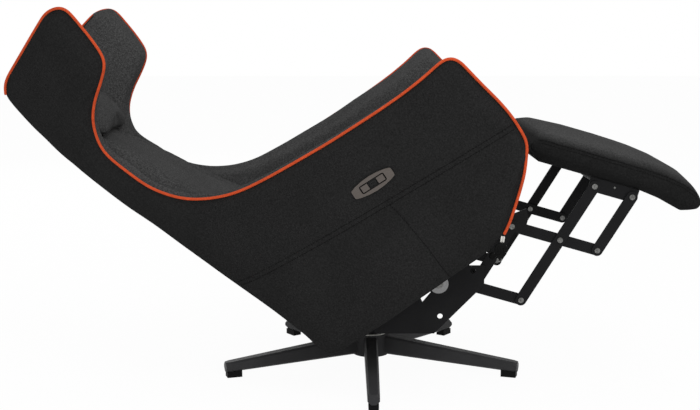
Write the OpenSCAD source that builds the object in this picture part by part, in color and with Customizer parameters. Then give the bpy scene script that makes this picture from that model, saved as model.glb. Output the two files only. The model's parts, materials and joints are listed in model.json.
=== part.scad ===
// Swivelling power recliner with winged side shells and a folding leg rest.
// It is drawn as photographed: leaned back, with the leg rest out.
// X points to the leg rest, Z up, origin on the floor under the swivel post.

/* [Star base] */
// Number of legs
leg_count = 5; // [3:1:7]
// Radius from the swivel post to a leg's tip
leg_reach = 350; // [330:5:380]
// Height of a leg's top where it leaves the hub
leg_root_top = 75; // [72:1:77]
// Height of a leg's top at its tip
leg_tip_top = 35; // [32:1:40]
// Depth of a leg where it leaves the hub
leg_root_depth = 44; // [36:1:46]
// Depth of a leg at its tip
leg_tip_depth = 22; // [18:1:24]
// Width of a leg where it leaves the hub
leg_root_w = 32; // [28:1:44]
// Width of a leg at its tip
leg_tip_w = 26; // [20:1:32]
// Radius of the hub
hub_r = 42; // [38:1:46]
// Height of the hub's underside
hub_low = 27; // [24:1:30]
// Height of the hub's top
hub_top = 77; // [77:1:82]
// Distance of a glide's centre from its leg's tip
glide_inset = 20; // [18:1:35]
// Length of a glide
glide_l = 34; // [28:1:36]
// Width of a glide
glide_w = 22; // [18:1:24]
// Radius of the swivel post
post_r = 22; // [18:1:25]
// Top of the swivel post
post_top = 118; // [110:1:124]

/* [Swivel chassis] */
// Height of the swivel plate's underside
swivel_low = 130; // [126:1:131]
// Thickness of the swivel plate
swivel_t = 6; // [4:1:8]
// Half width of the swivel plate
swivel_half_w = 90; // [70:5:110]
// Rear end of the swivel plate
swivel_rear = -55; // [-65:1:-45]
// Front end of the swivel plate
swivel_front = 122; // [118:1:128]
// Wall of the sleeve that turns on the post
sleeve_t = 8; // [5:1:10]
// Height of the two cross tubes
cross_h = 25; // [22:1:28]
// Width of the two cross tubes
cross_w = 30; // [26:1:32]
// Rear face of the rear cross tube
cross_rear_x = 10; // [8:1:14]
// Rear face of the front cross tube
cross_front_x = 85; // [80:1:90]
// Wall of every square tube
tube_t = 2; // [1.5:0.5:3]
// Room between a side plate and the side panel beside it
plate_room = 57; // [55:0.5:58]
// Thickness of the side plates
plate_t = 5; // [4:0.5:6]
// Height of the side plates' lower edge
plate_low = 134.5; // [133:0.5:136]
// Height of the side plates' top edge at the front
plate_top = 284; // [280:1:290]
// Front edge of the side plates
plate_front = 239; // [230:1:245]
// Rear edge of the side plates
plate_rear = 4; // [0:1:8]

/* [Tilt pivot] */
// Tilt axis in front of the swivel post
tilt_x = 141; // [136:1:146]
// Height of the tilt axis
tilt_z = 245; // [242:1:250]
// Angle of the seat shell in the drawn pose
recline_deg = 34; // [30:1:36]
// Radius of the tilt bolts
tilt_bolt_r = 10; // [8:1:12]
// Outer radius of the bright ring on each tilt bolt
tilt_ring_r = 21; // [18:1:23]
// Thickness of the bright ring
tilt_ring_t = 4; // [3:0.5:5]

/* [Leg rest linkage] */
// Pivot on the seat plate, in front of the tilt axis
pivot_x = 57; // [54:1:60]
// Pivot on the seat plate, above the tilt axis
pivot_z = -51; // [-54:1:-48]
// Length of the crank link
crank_l = 108; // [104:1:112]
// Length of the rear link
rear_l = 155; // [150:1:158]
// Length of the long link past its middle pivot
upper_l = 136; // [132:1:140]
// Distance of the two outer parallel links
outer_l = 84; // [80:1:88]
// Angle of the long links to the seat shell, leg rest out
long_deg = 24.5; // [23:0.5:26]
// Angle of the short links to the seat shell, leg rest out
short_deg = -49.9; // [-51:0.1:-48]
// Angle of the long links to the seat shell, leg rest folded
long_folded_deg = 62; // [60:1:62]
// Width of a link
link_w = 24; // [20:1:26]
// Thickness of a link
link_t = 4; // [3:0.5:4.5]
// Gap between the two layers of links
link_gap = 1; // [0.8:0.1:1.2]
// Room between the links and the side plate beside them
link_room = 9; // [8:0.5:9.5]
// Radius of a rivet's shank
rivet_r = 4; // [3:0.5:5]
// Radius of a rivet's head
rivet_head_r = 6; // [5.5:0.5:8]
// Height of a rivet's head
rivet_head_t = 2.4; // [2:0.2:3]
// Radial clearance of a turning fit
fit = 0.05; // [0.02:0.01:0.1]
// Radial clearance of the two pivots that close the linkage
loose_fit = 0.4; // [0.3:0.1:0.6]

/* [Seat frame] */
// Room between a seat plate and the links beside it
seat_plate_room = 5; // [4.5:0.5:6]
// Thickness of the seat plates
seat_plate_t = 4; // [3:0.5:5]
// Size of the square seat rails
rail = 25; // [20:1:28]
// Underside of the seat rails above the tilt axis
rail_low = 85; // [82:1:88]
// Front end of the seat rails
rail_front = 200; // [190:1:202]
// Rear end of the seat rails
rail_rear = -200; // [-205:1:-195]
// Depth of the wooden beams that carry the side panels
beam_h = 20; // [16:1:22]
// Width of the wooden beams
beam_w = 40; // [30:1:42]
// Rear edge of the front beam
front_beam_x = 130; // [120:1:138]
// Thickness of the webbing
web_t = 1.5; // [1:0.1:2]
// Width of a webbing strap
web_w = 50; // [40:1:54]
// Number of webbing straps
web_count = 4; // [3:1:5]

/* [Side panels] */
// Length of the shell from its rear point to its front point
shell_l = 875; // [860:5:890]
// Height of the shell from its lowest to its highest point
shell_h = 941; // [930:1:950]
// Rear point of the shell behind the tilt axis
shell_rear = -560; // [-565:1:-555]
// Lowest point of the shell above the tilt axis
shell_low = 4; // [2:1:6]
// Half width of the shell over the front of the arms
arm_half_w = 402; // [396:1:410]
// How much the shell narrows evenly to the rear
taper_w = 140; // [130:1:145]
// How much the wings bow inwards besides
wing_bow = 131; // [120:1:135]
// Thickness of a side panel at the front
panel_t_front = 115; // [108:1:118]
// How much thinner a side panel is at the rear
panel_t_loss = 75; // [70:1:80]
// Rounding of a side panel's outer edge
panel_outer_r = 8; // [6:0.5:10]
// Rounding of a side panel's inner edge
panel_inner_r = 16; // [12:1:18]
// Crown of the padding along a side panel's upper edge
band_crown = 14; // [6:1:16]
// How much lower a side panel's inner edge is than its outer one
inner_drop = 20; // [10:1:24]
// Diameter of the piping
piping_d = 6; // [5:0.5:8]

/* [Upholstery] */
// Clearance around upholstery
soft_gap = 0.5; // [0.4:0.1:0.8]
// Clearance between the side panels and the upholstery between them
side_gap = 2.4; // [2.2:0.1:3]
// Front end of the seat cushion
cushion_front = 208; // [200:1:208]
// Top of the seat cushion at its front edge above the tilt axis
cushion_top = 232; // [222:1:238]
// Crown of the seat cushion
cushion_crown = 14; // [8:1:18]
// How much lower the seat cushion is at its rear
cushion_drop = 18; // [10:1:24]
// Thickness of the rear cover
cover_t = 10; // [8:0.5:14]
// Thickness of the back board
board_t = 12; // [9:0.5:14]
// Room between the head pillow and the side panels
pillow_room = 13; // [11:1:30]
// Height of the head pillow
pillow_h = 138; // [120:1:150]
// Thickness of the head pillow
pillow_t = 52; // [40:1:56]
// Middle of the head pillow below the shell's highest point
pillow_drop = 220; // [212:1:228]

/* [Leg rest] */
// How far the leg rest pad reaches beyond its brackets
pad_overhang = 29; // [20:1:38]
// Rear end of the pad from its first pivot
pad_rear = -165; // [-172:1:-160]
// Front end of the pad from its first pivot
pad_front = 231; // [225:1:236]
// Height of the pad's underside above the line of its pivots
pad_low = 27; // [26:0.5:29]
// Height of the pad's seam above the line of its pivots
pad_seam = 66; // [62:1:68]
// Height of the pad's crown above the line of its pivots
pad_crown = 90; // [84:1:92]
// How much the pad droops at its front end
pad_droop = 24; // [16:1:28]
// Thickness of the board under the pad
pad_board_t = 9; // [6:0.5:10]

/* [Power drive] */
// Radius of a motor's tube
motor_r = 16; // [14:0.5:18]
// Radius of a motor's push rod
rod_r = 9; // [8:0.5:10]
// Distance of each motor from the middle
motor_y = 70; // [60:1:90]
// Radius of the shaft that the leg rest motor pushes
push_shaft_r = 7; // [6:0.5:8]
// Distance of that shaft from the linkage pivot
push_at = 80; // [76:1:84]

/* [Control panel] */
// Length of the control plate
switch_l = 96; // [90:1:104]
// Height of the control plate
switch_h = 34; // [30:1:38]
// Thickness of the control plate
switch_t = 3; // [2:0.5:4]
// Slope of the control plate
switch_deg = 0; // [-3:0.5:3]
// Middle of the control plate in front of the tilt axis
switch_x = 12; // [6:1:18]
// Middle of the control plate above the tilt axis
switch_z = 275; // [270:1:280]
// Travel of a control button
button_travel = 1.5; // [1:0.1:2]

/* [Hidden] */
$fn = 48;
over = 1;

// Vectors and curves in the XZ plane
function unit(v) = v / norm(v);
function at_deg(a) = [cos(a), sin(a)];
function blend(a, b, s) = a + (b - a) * s;
function spline(a, b, c, d, s) = (2 * b + (c - a) * s + (2 * a - 5 * b + 4 * c - d) * s * s
    + (3 * b - a - 3 * c + d) * s * s * s) / 2;
function clip(i, keys) = max(0, min(len(keys) - 1, i));
function along(keys, s) = let (i = min(floor(s), len(keys) - 2))
    spline(keys[clip(i - 1, keys)], keys[i], keys[i + 1], keys[clip(i + 2, keys)], s - i);
function roll(d, r) = d >= r ? 0 : r - sqrt(r * r - (r - d) * (r - d));

// Widths from the arms inwards: side plates, links, seat plates
plate_y = arm_half_w - panel_t_front - plate_room;
plate_in = plate_y - plate_t;
link_y = plate_in - link_room - 2 * link_t - link_gap;
seat_plate_y = link_y - seat_plate_room;
pad_half_w = link_y + link_t + pad_overhang;

// Pivots of the linkage, in the seat shell's frame
pivot = [pivot_x, pivot_z];
long_dir = at_deg(long_deg);
short_dir = at_deg(short_deg);
rear_pin = pivot + rear_l * long_dir;
low_pin = pivot + crank_l * short_dir;
mid_pin = low_pin + rear_l * long_dir;
front_pin = mid_pin + outer_l * short_dir;
pad_pin = mid_pin + upper_l * long_dir;
pad_front_pin = pad_pin + outer_l * short_dir;
push_pin = pivot + push_at * long_dir;
outer_y = link_y + link_t + link_gap;
rivet_out = outer_y + link_t;

// Bodies of the seat shell are drawn upright, with the tilt axis as origin
module in_shell() { translate([tilt_x, 0, tilt_z]) rotate([0, -recline_deg, 0]) children(); }
module both_sides() { children(); mirror([0, 1, 0]) children(); }
module on_side(left) { if (left) mirror([0, 1, 0]) children(); else children(); }
// A bar, disc or outline that lies in the XZ plane, from y to y + t
module flat(y, t) { translate([0, y + t, 0]) rotate([90, 0, 0]) linear_extrude(t) children(); }
module pin(p, y, t, r) { flat(y, t) translate(p) circle(r); }

// A closed form from rings of points, with a fan over each end
module loft(rings) {
    n = len(rings[0]);
    m = len(rings);
    first = [for (k = [0:2]) [for (p = rings[0]) p[k]] * [for (p = rings[0]) 1] / n];
    last = [for (k = [0:2]) [for (p = rings[m - 1]) p[k]] * [for (p = rings[0]) 1] / n];
    polyhedron(
        points = concat([for (r = rings) each r], [first, last]),
        faces = concat(
            [for (j = [0:m - 2], i = [0:n - 1]) [j * n + i, (j + 1) * n + i, (j + 1) * n + (i + 1) % n]],
            [for (j = [0:m - 2], i = [0:n - 1]) [j * n + i, (j + 1) * n + (i + 1) % n, j * n + (i + 1) % n]],
            [for (i = [0:n - 1]) [m * n, i, (i + 1) % n]],
            [for (i = [0:n - 1]) [m * n + 1, (m - 1) * n + (i + 1) % n, (m - 1) * n + i]]));
}

// Star base
leg_root_at = 30;
leg_knee_share = 0.82;
leg_edge = 4;
leg_tip_r = 10;
function leg_ring(x, w, top, depth, e) = [
    [x, -w / 2 + e, top], [x, w / 2 - e, top], [x, w / 2, top - e], [x, w / 2, top - depth + e],
    [x, w / 2 - e, top - depth], [x, -w / 2 + e, top - depth], [x, -w / 2, top - depth + e], [x, -w / 2, top - e]];
function leg_at(s, e) = leg_ring(blend(leg_root_at, leg_reach, s), blend(leg_root_w, leg_tip_w, s),
    blend(leg_root_top, leg_tip_top, s), blend(leg_root_depth, leg_tip_depth, s), e);
leg_turn = 360 / leg_count;
module legs_round() { for (i = [0:leg_count - 1]) rotate([0, 0, -90 + i * leg_turn]) children(); }
module star_base() {
    color([0.17, 0.17, 0.18]) difference() {
        union() {
            translate([0, 0, hub_low]) cylinder(h = hub_top - hub_low, r = hub_r);
            legs_round() loft([leg_at(1, leg_edge * 2), leg_at(1 - leg_tip_r / leg_reach, leg_edge),
                leg_at(leg_knee_share, leg_edge), leg_at(0, leg_edge)]);
        }
        translate([0, 0, hub_low - over]) cylinder(h = hub_top - hub_low + 2 * over, r = post_r);
    }
}

glide_at = leg_reach - glide_inset;
// A glide stands on the floor and seats against the sloping underside of its leg
function leg_under(r) = let (s = (r - leg_root_at) / (leg_reach - leg_root_at))
    blend(leg_root_top - leg_root_depth, leg_tip_top - leg_tip_depth, s);
module foot_glides() {
    color([0.05, 0.05, 0.05]) legs_round() difference() {
        translate([glide_at - glide_l / 2, -glide_w / 2, 0]) cube([glide_l, glide_w, leg_root_top / 2]);
        translate([0, -leg_root_w, 0]) rotate([90, 0, 0]) mirror([0, 0, 1]) linear_extrude(2 * leg_root_w)
            polygon([[leg_root_at, leg_under(leg_root_at)], [leg_reach + glide_l, leg_under(leg_reach + glide_l)],
                [leg_reach + glide_l, leg_root_top], [leg_root_at, leg_root_top]]);
    }
}

module swivel_post() {
    color("silver") translate([0, 0, hub_low]) cylinder(h = post_top - hub_low, r = post_r);
}

washer_t = 2;
washer_r = 38;
module thrust_washer() {
    color([0.8, 0.8, 0.78]) translate([0, 0, hub_top]) difference() {
        cylinder(h = washer_t, r = washer_r);
        translate([0, 0, -over]) cylinder(h = washer_t + 2 * over, r = post_r + fit);
    }
}

// Chassis that turns on the post
sleeve_gap = 0.2;
plate_corner = 30;
module swivel_plate() {
    low = hub_top + washer_t + sleeve_gap;
    color([0.13, 0.13, 0.14]) difference() {
        union() {
            translate([0, 0, low]) cylinder(h = swivel_low - low + swivel_t, r = post_r + sleeve_t);
            translate([0, 0, swivel_low]) linear_extrude(swivel_t) polygon([
                [swivel_rear, plate_corner - swivel_half_w], [swivel_rear + plate_corner, -swivel_half_w],
                [swivel_front - plate_corner, -swivel_half_w], [swivel_front, plate_corner - swivel_half_w],
                [swivel_front, swivel_half_w - plate_corner], [swivel_front - plate_corner, swivel_half_w],
                [swivel_rear + plate_corner, swivel_half_w], [swivel_rear, swivel_half_w - plate_corner]]);
        }
        translate([0, 0, low - over]) cylinder(h = swivel_low - low + swivel_t + 2 * over, r = post_r + fit);
    }
}

cross_low = swivel_low + swivel_t;
module square_tube(x, z, w, h, y) {
    difference() {
        translate([x, -y, z]) cube([w, 2 * y, h]);
        translate([x + tube_t, -y - over, z + tube_t]) cube([w - 2 * tube_t, 2 * (y + over), h - 2 * tube_t]);
    }
}
// Ears on the front cross tube hold the recline motor's pin
ear_t = 5;
ear_gap = 14;
ear_r = 9;
push_pin_r = 5;
recline_pin_up = 17;
recline_pin = [cross_front_x + cross_w / 2, cross_low + cross_h + recline_pin_up];
module cross_tubes() {
    color([0.13, 0.13, 0.14]) {
        square_tube(cross_rear_x, cross_low, cross_w, cross_h, plate_in);
        square_tube(cross_front_x, cross_low, cross_w, cross_h, plate_in);
        for (s = [-1, 1]) flat(-motor_y + s * (ear_gap + ear_t) / 2 - ear_t / 2, ear_t) {
            translate(recline_pin) circle(ear_r);
            translate(recline_pin - [ear_r, recline_pin_up]) square([2 * ear_r, recline_pin_up]);
        }
        pin(recline_pin, -motor_y - ear_gap / 2 - ear_t, ear_gap + 2 * ear_t, push_pin_r);
    }
}

// Fixed side plate: a slanted steel sheet with a lobe round the tilt bolt
plate_hole_r = 6;
plate_hole = [145, 172.6];
plate_screw_hole_r = 5.5;
plate_screw_hole = [214.5, 272.4];
lobe_r = 25;
plate_toe = [132.4, 165.5];
plate_dip = [107, 204];
plate_shoulder = [60, 215];
plate_nose = 242;
module side_plate(left) {
    color([0.12, 0.12, 0.13]) on_side(left) flat(-plate_y, plate_t) difference() {
        union() {
            polygon([[plate_rear, plate_low], [plate_toe[0], plate_low],
                [plate_toe[0] + plate_toe[1] - plate_low, plate_toe[1]], [plate_front, plate_nose],
                [plate_front, plate_top], [plate_screw_hole[0] - lobe_r / 2, plate_top],
                [tilt_x + lobe_r, tilt_z + lobe_r], [tilt_x, tilt_z], plate_dip,
                [plate_dip[0] - plate_hole_r, plate_shoulder[1]], plate_shoulder,
                [plate_rear, plate_toe[1]]]);
            translate([tilt_x, tilt_z]) circle(lobe_r);
        }
        translate([tilt_x, tilt_z]) circle(tilt_bolt_r);
        translate(plate_hole) circle(plate_hole_r);
        translate(plate_screw_hole) circle(plate_screw_hole_r);
    }
}
module left_side_plate() { side_plate(true); }
module right_side_plate() { side_plate(false); }

tilt_nut_t = 7;
tilt_nut_r = 15;
module tilt_bolts() {
    in_y = seat_plate_y - seat_plate_t;
    color([0.3, 0.3, 0.3]) both_sides() {
        pin([tilt_x, tilt_z], -plate_y - tilt_ring_t, plate_y + tilt_ring_t - in_y + sleeve_gap, tilt_bolt_r);
        pin([tilt_x, tilt_z], -in_y + sleeve_gap, tilt_nut_t, tilt_nut_r);
    }
}
module tilt_rings() {
    color([0.62, 0.62, 0.62]) both_sides() flat(-plate_y - tilt_ring_t, tilt_ring_t)
        translate([tilt_x, tilt_z]) difference() {
            circle(tilt_ring_r);
            circle(tilt_bolt_r);
        }
}

// Seat shell: steel plates that turn on the tilt bolts and carry the linkage
seat_plate_foot = 16;
motor_tube_r = 8;
leg_rest_motor_pin = [-80, 30];
recline_motor_pin = [-160, 95];
seat_plate_front = 112;
push_clear = 8;
folded_push = pivot + push_at * at_deg(long_folded_deg);
module seat_plate(left) {
    color([0.12, 0.12, 0.13]) on_side(left) in_shell() flat(-seat_plate_y, seat_plate_t) difference() {
        union() {
            polygon([leg_rest_motor_pin - [seat_plate_foot, 0], leg_rest_motor_pin - [0, seat_plate_foot],
                [0, -lobe_r], pivot - [seat_plate_foot, seat_plate_foot], pivot + [seat_plate_foot, -seat_plate_foot],
                pivot + [seat_plate_foot, seat_plate_foot], folded_push - [push_shaft_r + push_clear, 0],
                folded_push + [0, push_shaft_r + push_clear], [seat_plate_front, rail_low],
                [seat_plate_front, rail_low + rail], [leg_rest_motor_pin[0] - seat_plate_foot, rail_low + rail]]);
            circle(lobe_r);
            translate(pivot) circle(seat_plate_foot);
            translate(leg_rest_motor_pin) circle(seat_plate_foot);
        }
        circle(tilt_bolt_r + fit);
    }
}
module left_seat_plate() { seat_plate(true); }
module right_seat_plate() { seat_plate(false); }

bush_r = 17;
module tilt_bushes() {
    color([0.6, 0.6, 0.58]) both_sides() in_shell() flat(-plate_in + sleeve_gap, plate_in - seat_plate_y - sleeve_gap)
        difference() {
            circle(bush_r);
            circle(tilt_bolt_r + fit);
        }
}

// A rivet through both layers of links; its heads stand just clear of the links
head_gap = 0.2;
module rivet(p) {
    pin(p, -rivet_out - head_gap, rivet_out - link_y + 2 * head_gap, rivet_r);
    pin(p, -rivet_out - head_gap - rivet_head_t, rivet_head_t, rivet_head_r);
    pin(p, -link_y + head_gap, rivet_head_t, rivet_head_r);
}
module rivets(places) {
    color([0.7, 0.7, 0.7]) both_sides() in_shell() for (p = places) rivet(p);
}
module link_studs() {
    color([0.7, 0.7, 0.7]) both_sides() in_shell() {
        pin(pivot, -rivet_out - head_gap, rivet_out - seat_plate_y + head_gap, rivet_r);
        pin(pivot, -rivet_out - head_gap - rivet_head_t, rivet_head_t, rivet_head_r);
        pin(pivot, -link_y + head_gap, link_y - seat_plate_y - head_gap, rivet_head_r);
    }
}

// A link bar with round ends and its bores; a child adds to its outline
module link(a, b, layer_y, holes) {
    color([0.12, 0.12, 0.13]) in_shell() flat(-layer_y - link_t, link_t) difference() {
        union() {
            children();
            translate(a) rotate(atan2(b[1] - a[1], b[0] - a[0])) translate([0, -link_w / 2]) square([norm(b - a), link_w]);
            translate(a) circle(link_w / 2);
            translate(b) circle(link_w / 2);
        }
        for (h = holes) translate(h[0]) circle(h[1]);
    }
}
turning_r = rivet_r + fit;
loose_r = rivet_r + loose_fit;
module rear_link(left) {
    on_side(left) link(pivot, rear_pin, outer_y, [[pivot, turning_r], [rear_pin, rivet_r], [push_pin, push_shaft_r]]);
}
// A tab stands up from the cross link beside its rear pivot
tab = [[-8, 3], [0, 24], [47, 14], [40, -5], [25, -19], [12, -14]];
module cross_link(left) {
    on_side(left) link(rear_pin, front_pin, link_y, [[rear_pin, turning_r], [mid_pin, rivet_r], [front_pin, rivet_r]])
        translate(rear_pin) polygon(tab);
}
module long_link(left) {
    on_side(left) link(low_pin, pad_pin, outer_y, [[low_pin, loose_r], [mid_pin, turning_r], [pad_pin, rivet_r]]);
}
module front_link(left) {
    on_side(left) link(front_pin, pad_front_pin, outer_y, [[front_pin, turning_r], [pad_front_pin, rivet_r]]);
}
module crank_link(left) {
    on_side(left) link(pivot, low_pin, link_y, [[pivot, turning_r], [low_pin, rivet_r]]);
}
module left_rear_link() { rear_link(true); }
module right_rear_link() { rear_link(false); }
module left_cross_link() { cross_link(true); }
module right_cross_link() { cross_link(false); }
module left_long_link() { long_link(true); }
module right_long_link() { long_link(false); }
module left_front_link() { front_link(true); }
module right_front_link() { front_link(false); }
module left_crank_link() { crank_link(true); }
module right_crank_link() { crank_link(false); }
module rear_link_rivets() { rivets([rear_pin]); }
module cross_link_rivets() { rivets([mid_pin, front_pin]); }
module long_link_rivets() { rivets([pad_pin]); }
module front_link_rivets() { rivets([pad_front_pin]); }
module crank_link_rivets() { rivets([low_pin]); }
module push_shaft() {
    color([0.4, 0.4, 0.4]) in_shell() pin(push_pin, -rivet_out, 2 * rivet_out, push_shaft_r);
}

// Seat frame: square tubes welded to a ring under the seat
rail_out = seat_plate_y - seat_plate_t;
module seat_frame() {
    color([0.14, 0.14, 0.15]) in_shell() {
        for (s = [0, 1]) mirror([0, s, 0]) difference() {
            translate([rail_rear, rail_out - rail, rail_low]) cube([rail_front - rail_rear, rail, rail]);
            translate([rail_rear - over, rail_out - rail + tube_t, rail_low + tube_t])
                cube([rail_front - rail_rear + 2 * over, rail - 2 * tube_t, rail - 2 * tube_t]);
        }
        square_tube(rail_rear, rail_low, rail, rail, rail_out - rail);
        square_tube(rail_front - rail, rail_low, rail, rail, rail_out - rail);
    }
}

// Wooden beams lie across the rails and end at the side panels' inner faces
beam_low = rail_low + rail;
beam_gap = 1.7;
module beam(x) {
    translate([0, 0, beam_low]) linear_extrude(beam_h) polygon([
        [x, -w_in(x) + beam_gap], [x + beam_w, -w_in(x + beam_w) + beam_gap],
        [x + beam_w, w_in(x + beam_w) - beam_gap], [x, w_in(x) - beam_gap]]);
}
module seat_beams() {
    color([0.72, 0.56, 0.36]) in_shell() {
        beam(rail_rear);
        beam(front_beam_x);
    }
}

// Straps run from the rear beam to the front one, on top of both
web_step = 2 * rail_out / web_count;
module seat_webbing() {
    color([0.25, 0.22, 0.2]) in_shell() for (i = [0:web_count - 1])
        translate([rail_rear, (i + 1 / 2) * web_step - rail_out - web_w / 2, beam_low + beam_h])
            cube([front_beam_x + beam_w - rail_rear, web_w, web_t]);
}

module recline_motor_tube() {
    color([0.3, 0.3, 0.3]) in_shell() pin(recline_motor_pin, rail - rail_out, 2 * (rail_out - rail), motor_tube_r);
}
module leg_rest_motor_tube() {
    color([0.3, 0.3, 0.3]) in_shell() pin(leg_rest_motor_pin, -rail_out, 2 * rail_out, motor_tube_r);
}

// Linear drives: a motor tube that hangs on its cross tube, and a push rod inside it
motor_eye_r = 13;
motor_eye_t = 12;
motor_start = 11;
motor_l = 92;
leg_rest_motor_l = 115;
rod_room = 4;
rod_eye_r = 13;
gearbox_l = 34;
gearbox_w = 44;
gearbox_h = 30;
rod_gap = 0.5;
rod_bore_r = rod_r + rod_gap;
rod_neck_l = 8;
leg_rest_rod_l = norm(push_pin - leg_rest_motor_pin);
leg_rest_stroke = leg_rest_rod_l - norm(folded_push - leg_rest_motor_pin);
recline_pin_in_shell = let (d = recline_pin - [tilt_x, tilt_z])
    [d[0] * cos(recline_deg) + d[1] * sin(recline_deg), d[1] * cos(recline_deg) - d[0] * sin(recline_deg)];
recline_rod_l = norm(recline_pin_in_shell - recline_motor_pin);
module along_drive(from, to, y) {
    d = to - from;
    in_shell() translate([from[0], y, from[1]]) rotate([0, -atan2(d[1], d[0]), 0]) children();
}
module motor(l) {
    difference() {
        union() {
            translate([0, -motor_eye_t / 2, 0]) rotate([-90, 0, 0]) cylinder(h = motor_eye_t, r = motor_eye_r);
            translate([0, -motor_eye_t / 2, -motor_eye_t / 2]) cube([motor_start + over, motor_eye_t, motor_eye_t]);
            translate([motor_start, -gearbox_w / 2, -gearbox_h / 2]) cube([gearbox_l, gearbox_w, gearbox_h]);
            translate([motor_start, 0, 0]) rotate([0, 90, 0]) cylinder(h = l, r = motor_r);
        }
        translate([0, -motor_eye_t, 0]) rotate([-90, 0, 0]) cylinder(h = 2 * motor_eye_t, r = motor_tube_r + fit);
        translate([motor_start + over, 0, 0]) rotate([0, 90, 0]) cylinder(h = l, r = rod_bore_r);
    }
}
// The rod ends in a flat tongue with the eye, which goes between the ears
module rod(start, l, eye_bore_r) {
    tongue_w = ear_gap - 2 * over;
    difference() {
        union() {
            translate([start, 0, 0]) rotate([0, 90, 0]) cylinder(h = l - rod_eye_r - start, r = rod_r);
            translate([l - rod_eye_r - rod_neck_l, -tongue_w / 2, -rod_r]) cube([rod_eye_r + rod_neck_l, tongue_w, 2 * rod_r]);
            translate([l, -tongue_w / 2, 0]) rotate([-90, 0, 0]) cylinder(h = tongue_w, r = rod_eye_r);
        }
        translate([l, -ear_gap, 0]) rotate([-90, 0, 0]) cylinder(h = 2 * ear_gap, r = eye_bore_r);
    }
}
eye_play = 3.4;
module recline_motor() {
    color([0.08, 0.08, 0.08]) along_drive(recline_motor_pin, recline_pin_in_shell, -motor_y) motor(motor_l);
}
module recline_rod() {
    color("silver") along_drive(recline_motor_pin, recline_pin_in_shell, -motor_y)
        rod(motor_start + rod_room, recline_rod_l, push_pin_r + eye_play);
}
module leg_rest_motor() {
    color([0.08, 0.08, 0.08]) along_drive(leg_rest_motor_pin, push_pin, motor_y) motor(leg_rest_motor_l);
}
module leg_rest_rod() {
    color("silver") along_drive(leg_rest_motor_pin, push_pin, motor_y)
        rod(motor_start + rod_room + leg_rest_stroke, leg_rest_rod_l, push_shaft_r + eye_play);
}

// Plan of the shell: half width to the outer and inner face of a side panel at x
taper_share = 0.961;
taper_l = shell_l * taper_share;
taper_front = shell_rear + shell_l;
bow_end_share = 0.87;
function back_share(x) = (taper_front - x) / taper_l;
function bow(s) = pow(min(s, bow_end_share), 5) + 5 * pow(bow_end_share, 4) * max(0, s - bow_end_share);
function w_out(x) = arm_half_w - taper_w * back_share(x) - wing_bow * bow(back_share(x));
function w_in(x) = w_out(x) - panel_t_front + panel_t_loss * back_share(x);

// Side panel: stations across its outline, each an upper and a lower point as shares of the shell's size
panel_shares = [
    [[0.232, 0.988], [0.034, 0.933]], [[0.258, 0.982], [0.011, 0.919]],
    [[0.279, 0.968], [0.000, 0.902]], [[0.286, 0.920], [-0.001, 0.880]],
    [[0.289, 0.872], [0.003, 0.845]], [[0.284, 0.828], [0.010, 0.806]], [[0.247, 0.798], [0.019, 0.772]],
    [[0.203, 0.772], [0.026, 0.742]], [[0.166, 0.739], [0.034, 0.714]], [[0.145, 0.697], [0.045, 0.683]],
    [[0.142, 0.660], [0.055, 0.652]], [[0.160, 0.607], [0.073, 0.603]], [[0.190, 0.543], [0.101, 0.536]],
    [[0.240, 0.488], [0.133, 0.470]], [[0.297, 0.454], [0.163, 0.402]], [[0.366, 0.431], [0.196, 0.330]],
    [[0.446, 0.421], [0.232, 0.245]], [[0.531, 0.416], [0.270, 0.158]], [[0.617, 0.412], [0.301, 0.075]],
    [[0.697, 0.411], [0.314, 0.026]], [[0.766, 0.411], [0.346, 0.002]], [[0.829, 0.413], [0.470, 0.005]],
    [[0.886, 0.418], [0.570, 0.012]], [[0.920, 0.423], [0.650, 0.017]], [[0.939, 0.425], [0.690, 0.020]],
    [[0.9525, 0.423], [0.722, 0.022]], [[0.963, 0.4155], [0.751, 0.0235]], [[0.969, 0.404], [0.778, 0.026]],
    [[0.975, 0.374], [0.808, 0.031]], [[0.983, 0.334], [0.837, 0.041]], [[0.992, 0.294], [0.866, 0.059]],
    [[0.998, 0.252], [0.894, 0.081]], [[0.998, 0.210], [0.926, 0.107]], [[0.994, 0.178], [0.958, 0.136]]];
upper_keys = [for (k = panel_shares) [shell_rear + k[0][0] * shell_l, shell_low + k[0][1] * shell_h]];
lower_keys = [for (k = panel_shares) [shell_rear + k[1][0] * shell_l, shell_low + k[1][1] * shell_h]];
last_key = len(panel_shares) - 1;
fine_step = 0.5;
end_steps = [0, 0.15, 0.4, 0.7];
panel_steps = concat(end_steps, [for (s = [1:fine_step:2]) s], [3, 4], [for (s = [4.5:fine_step:13]) s],
    [for (s = [14:22]) s], [for (s = [22.5:fine_step:last_key - 1]) s], [for (i = [2:-1:0]) last_key - end_steps[i]]);
slope_step = 0.05;
function inward(keys, others, s) = let (
    t = along(keys, min(s + slope_step, last_key)) - along(keys, max(s - slope_step, 0)),
    n = unit([-t[1], t[0]]), to = along(others, s) - along(keys, s)) n * to > 0 ? n : -n;
// Distance of a station from the nearer end of the panel
function end_gap(s) = min(norm(along(upper_keys, s) - along(upper_keys, 0)),
    norm(along(upper_keys, s) - along(upper_keys, last_key)));
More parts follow.
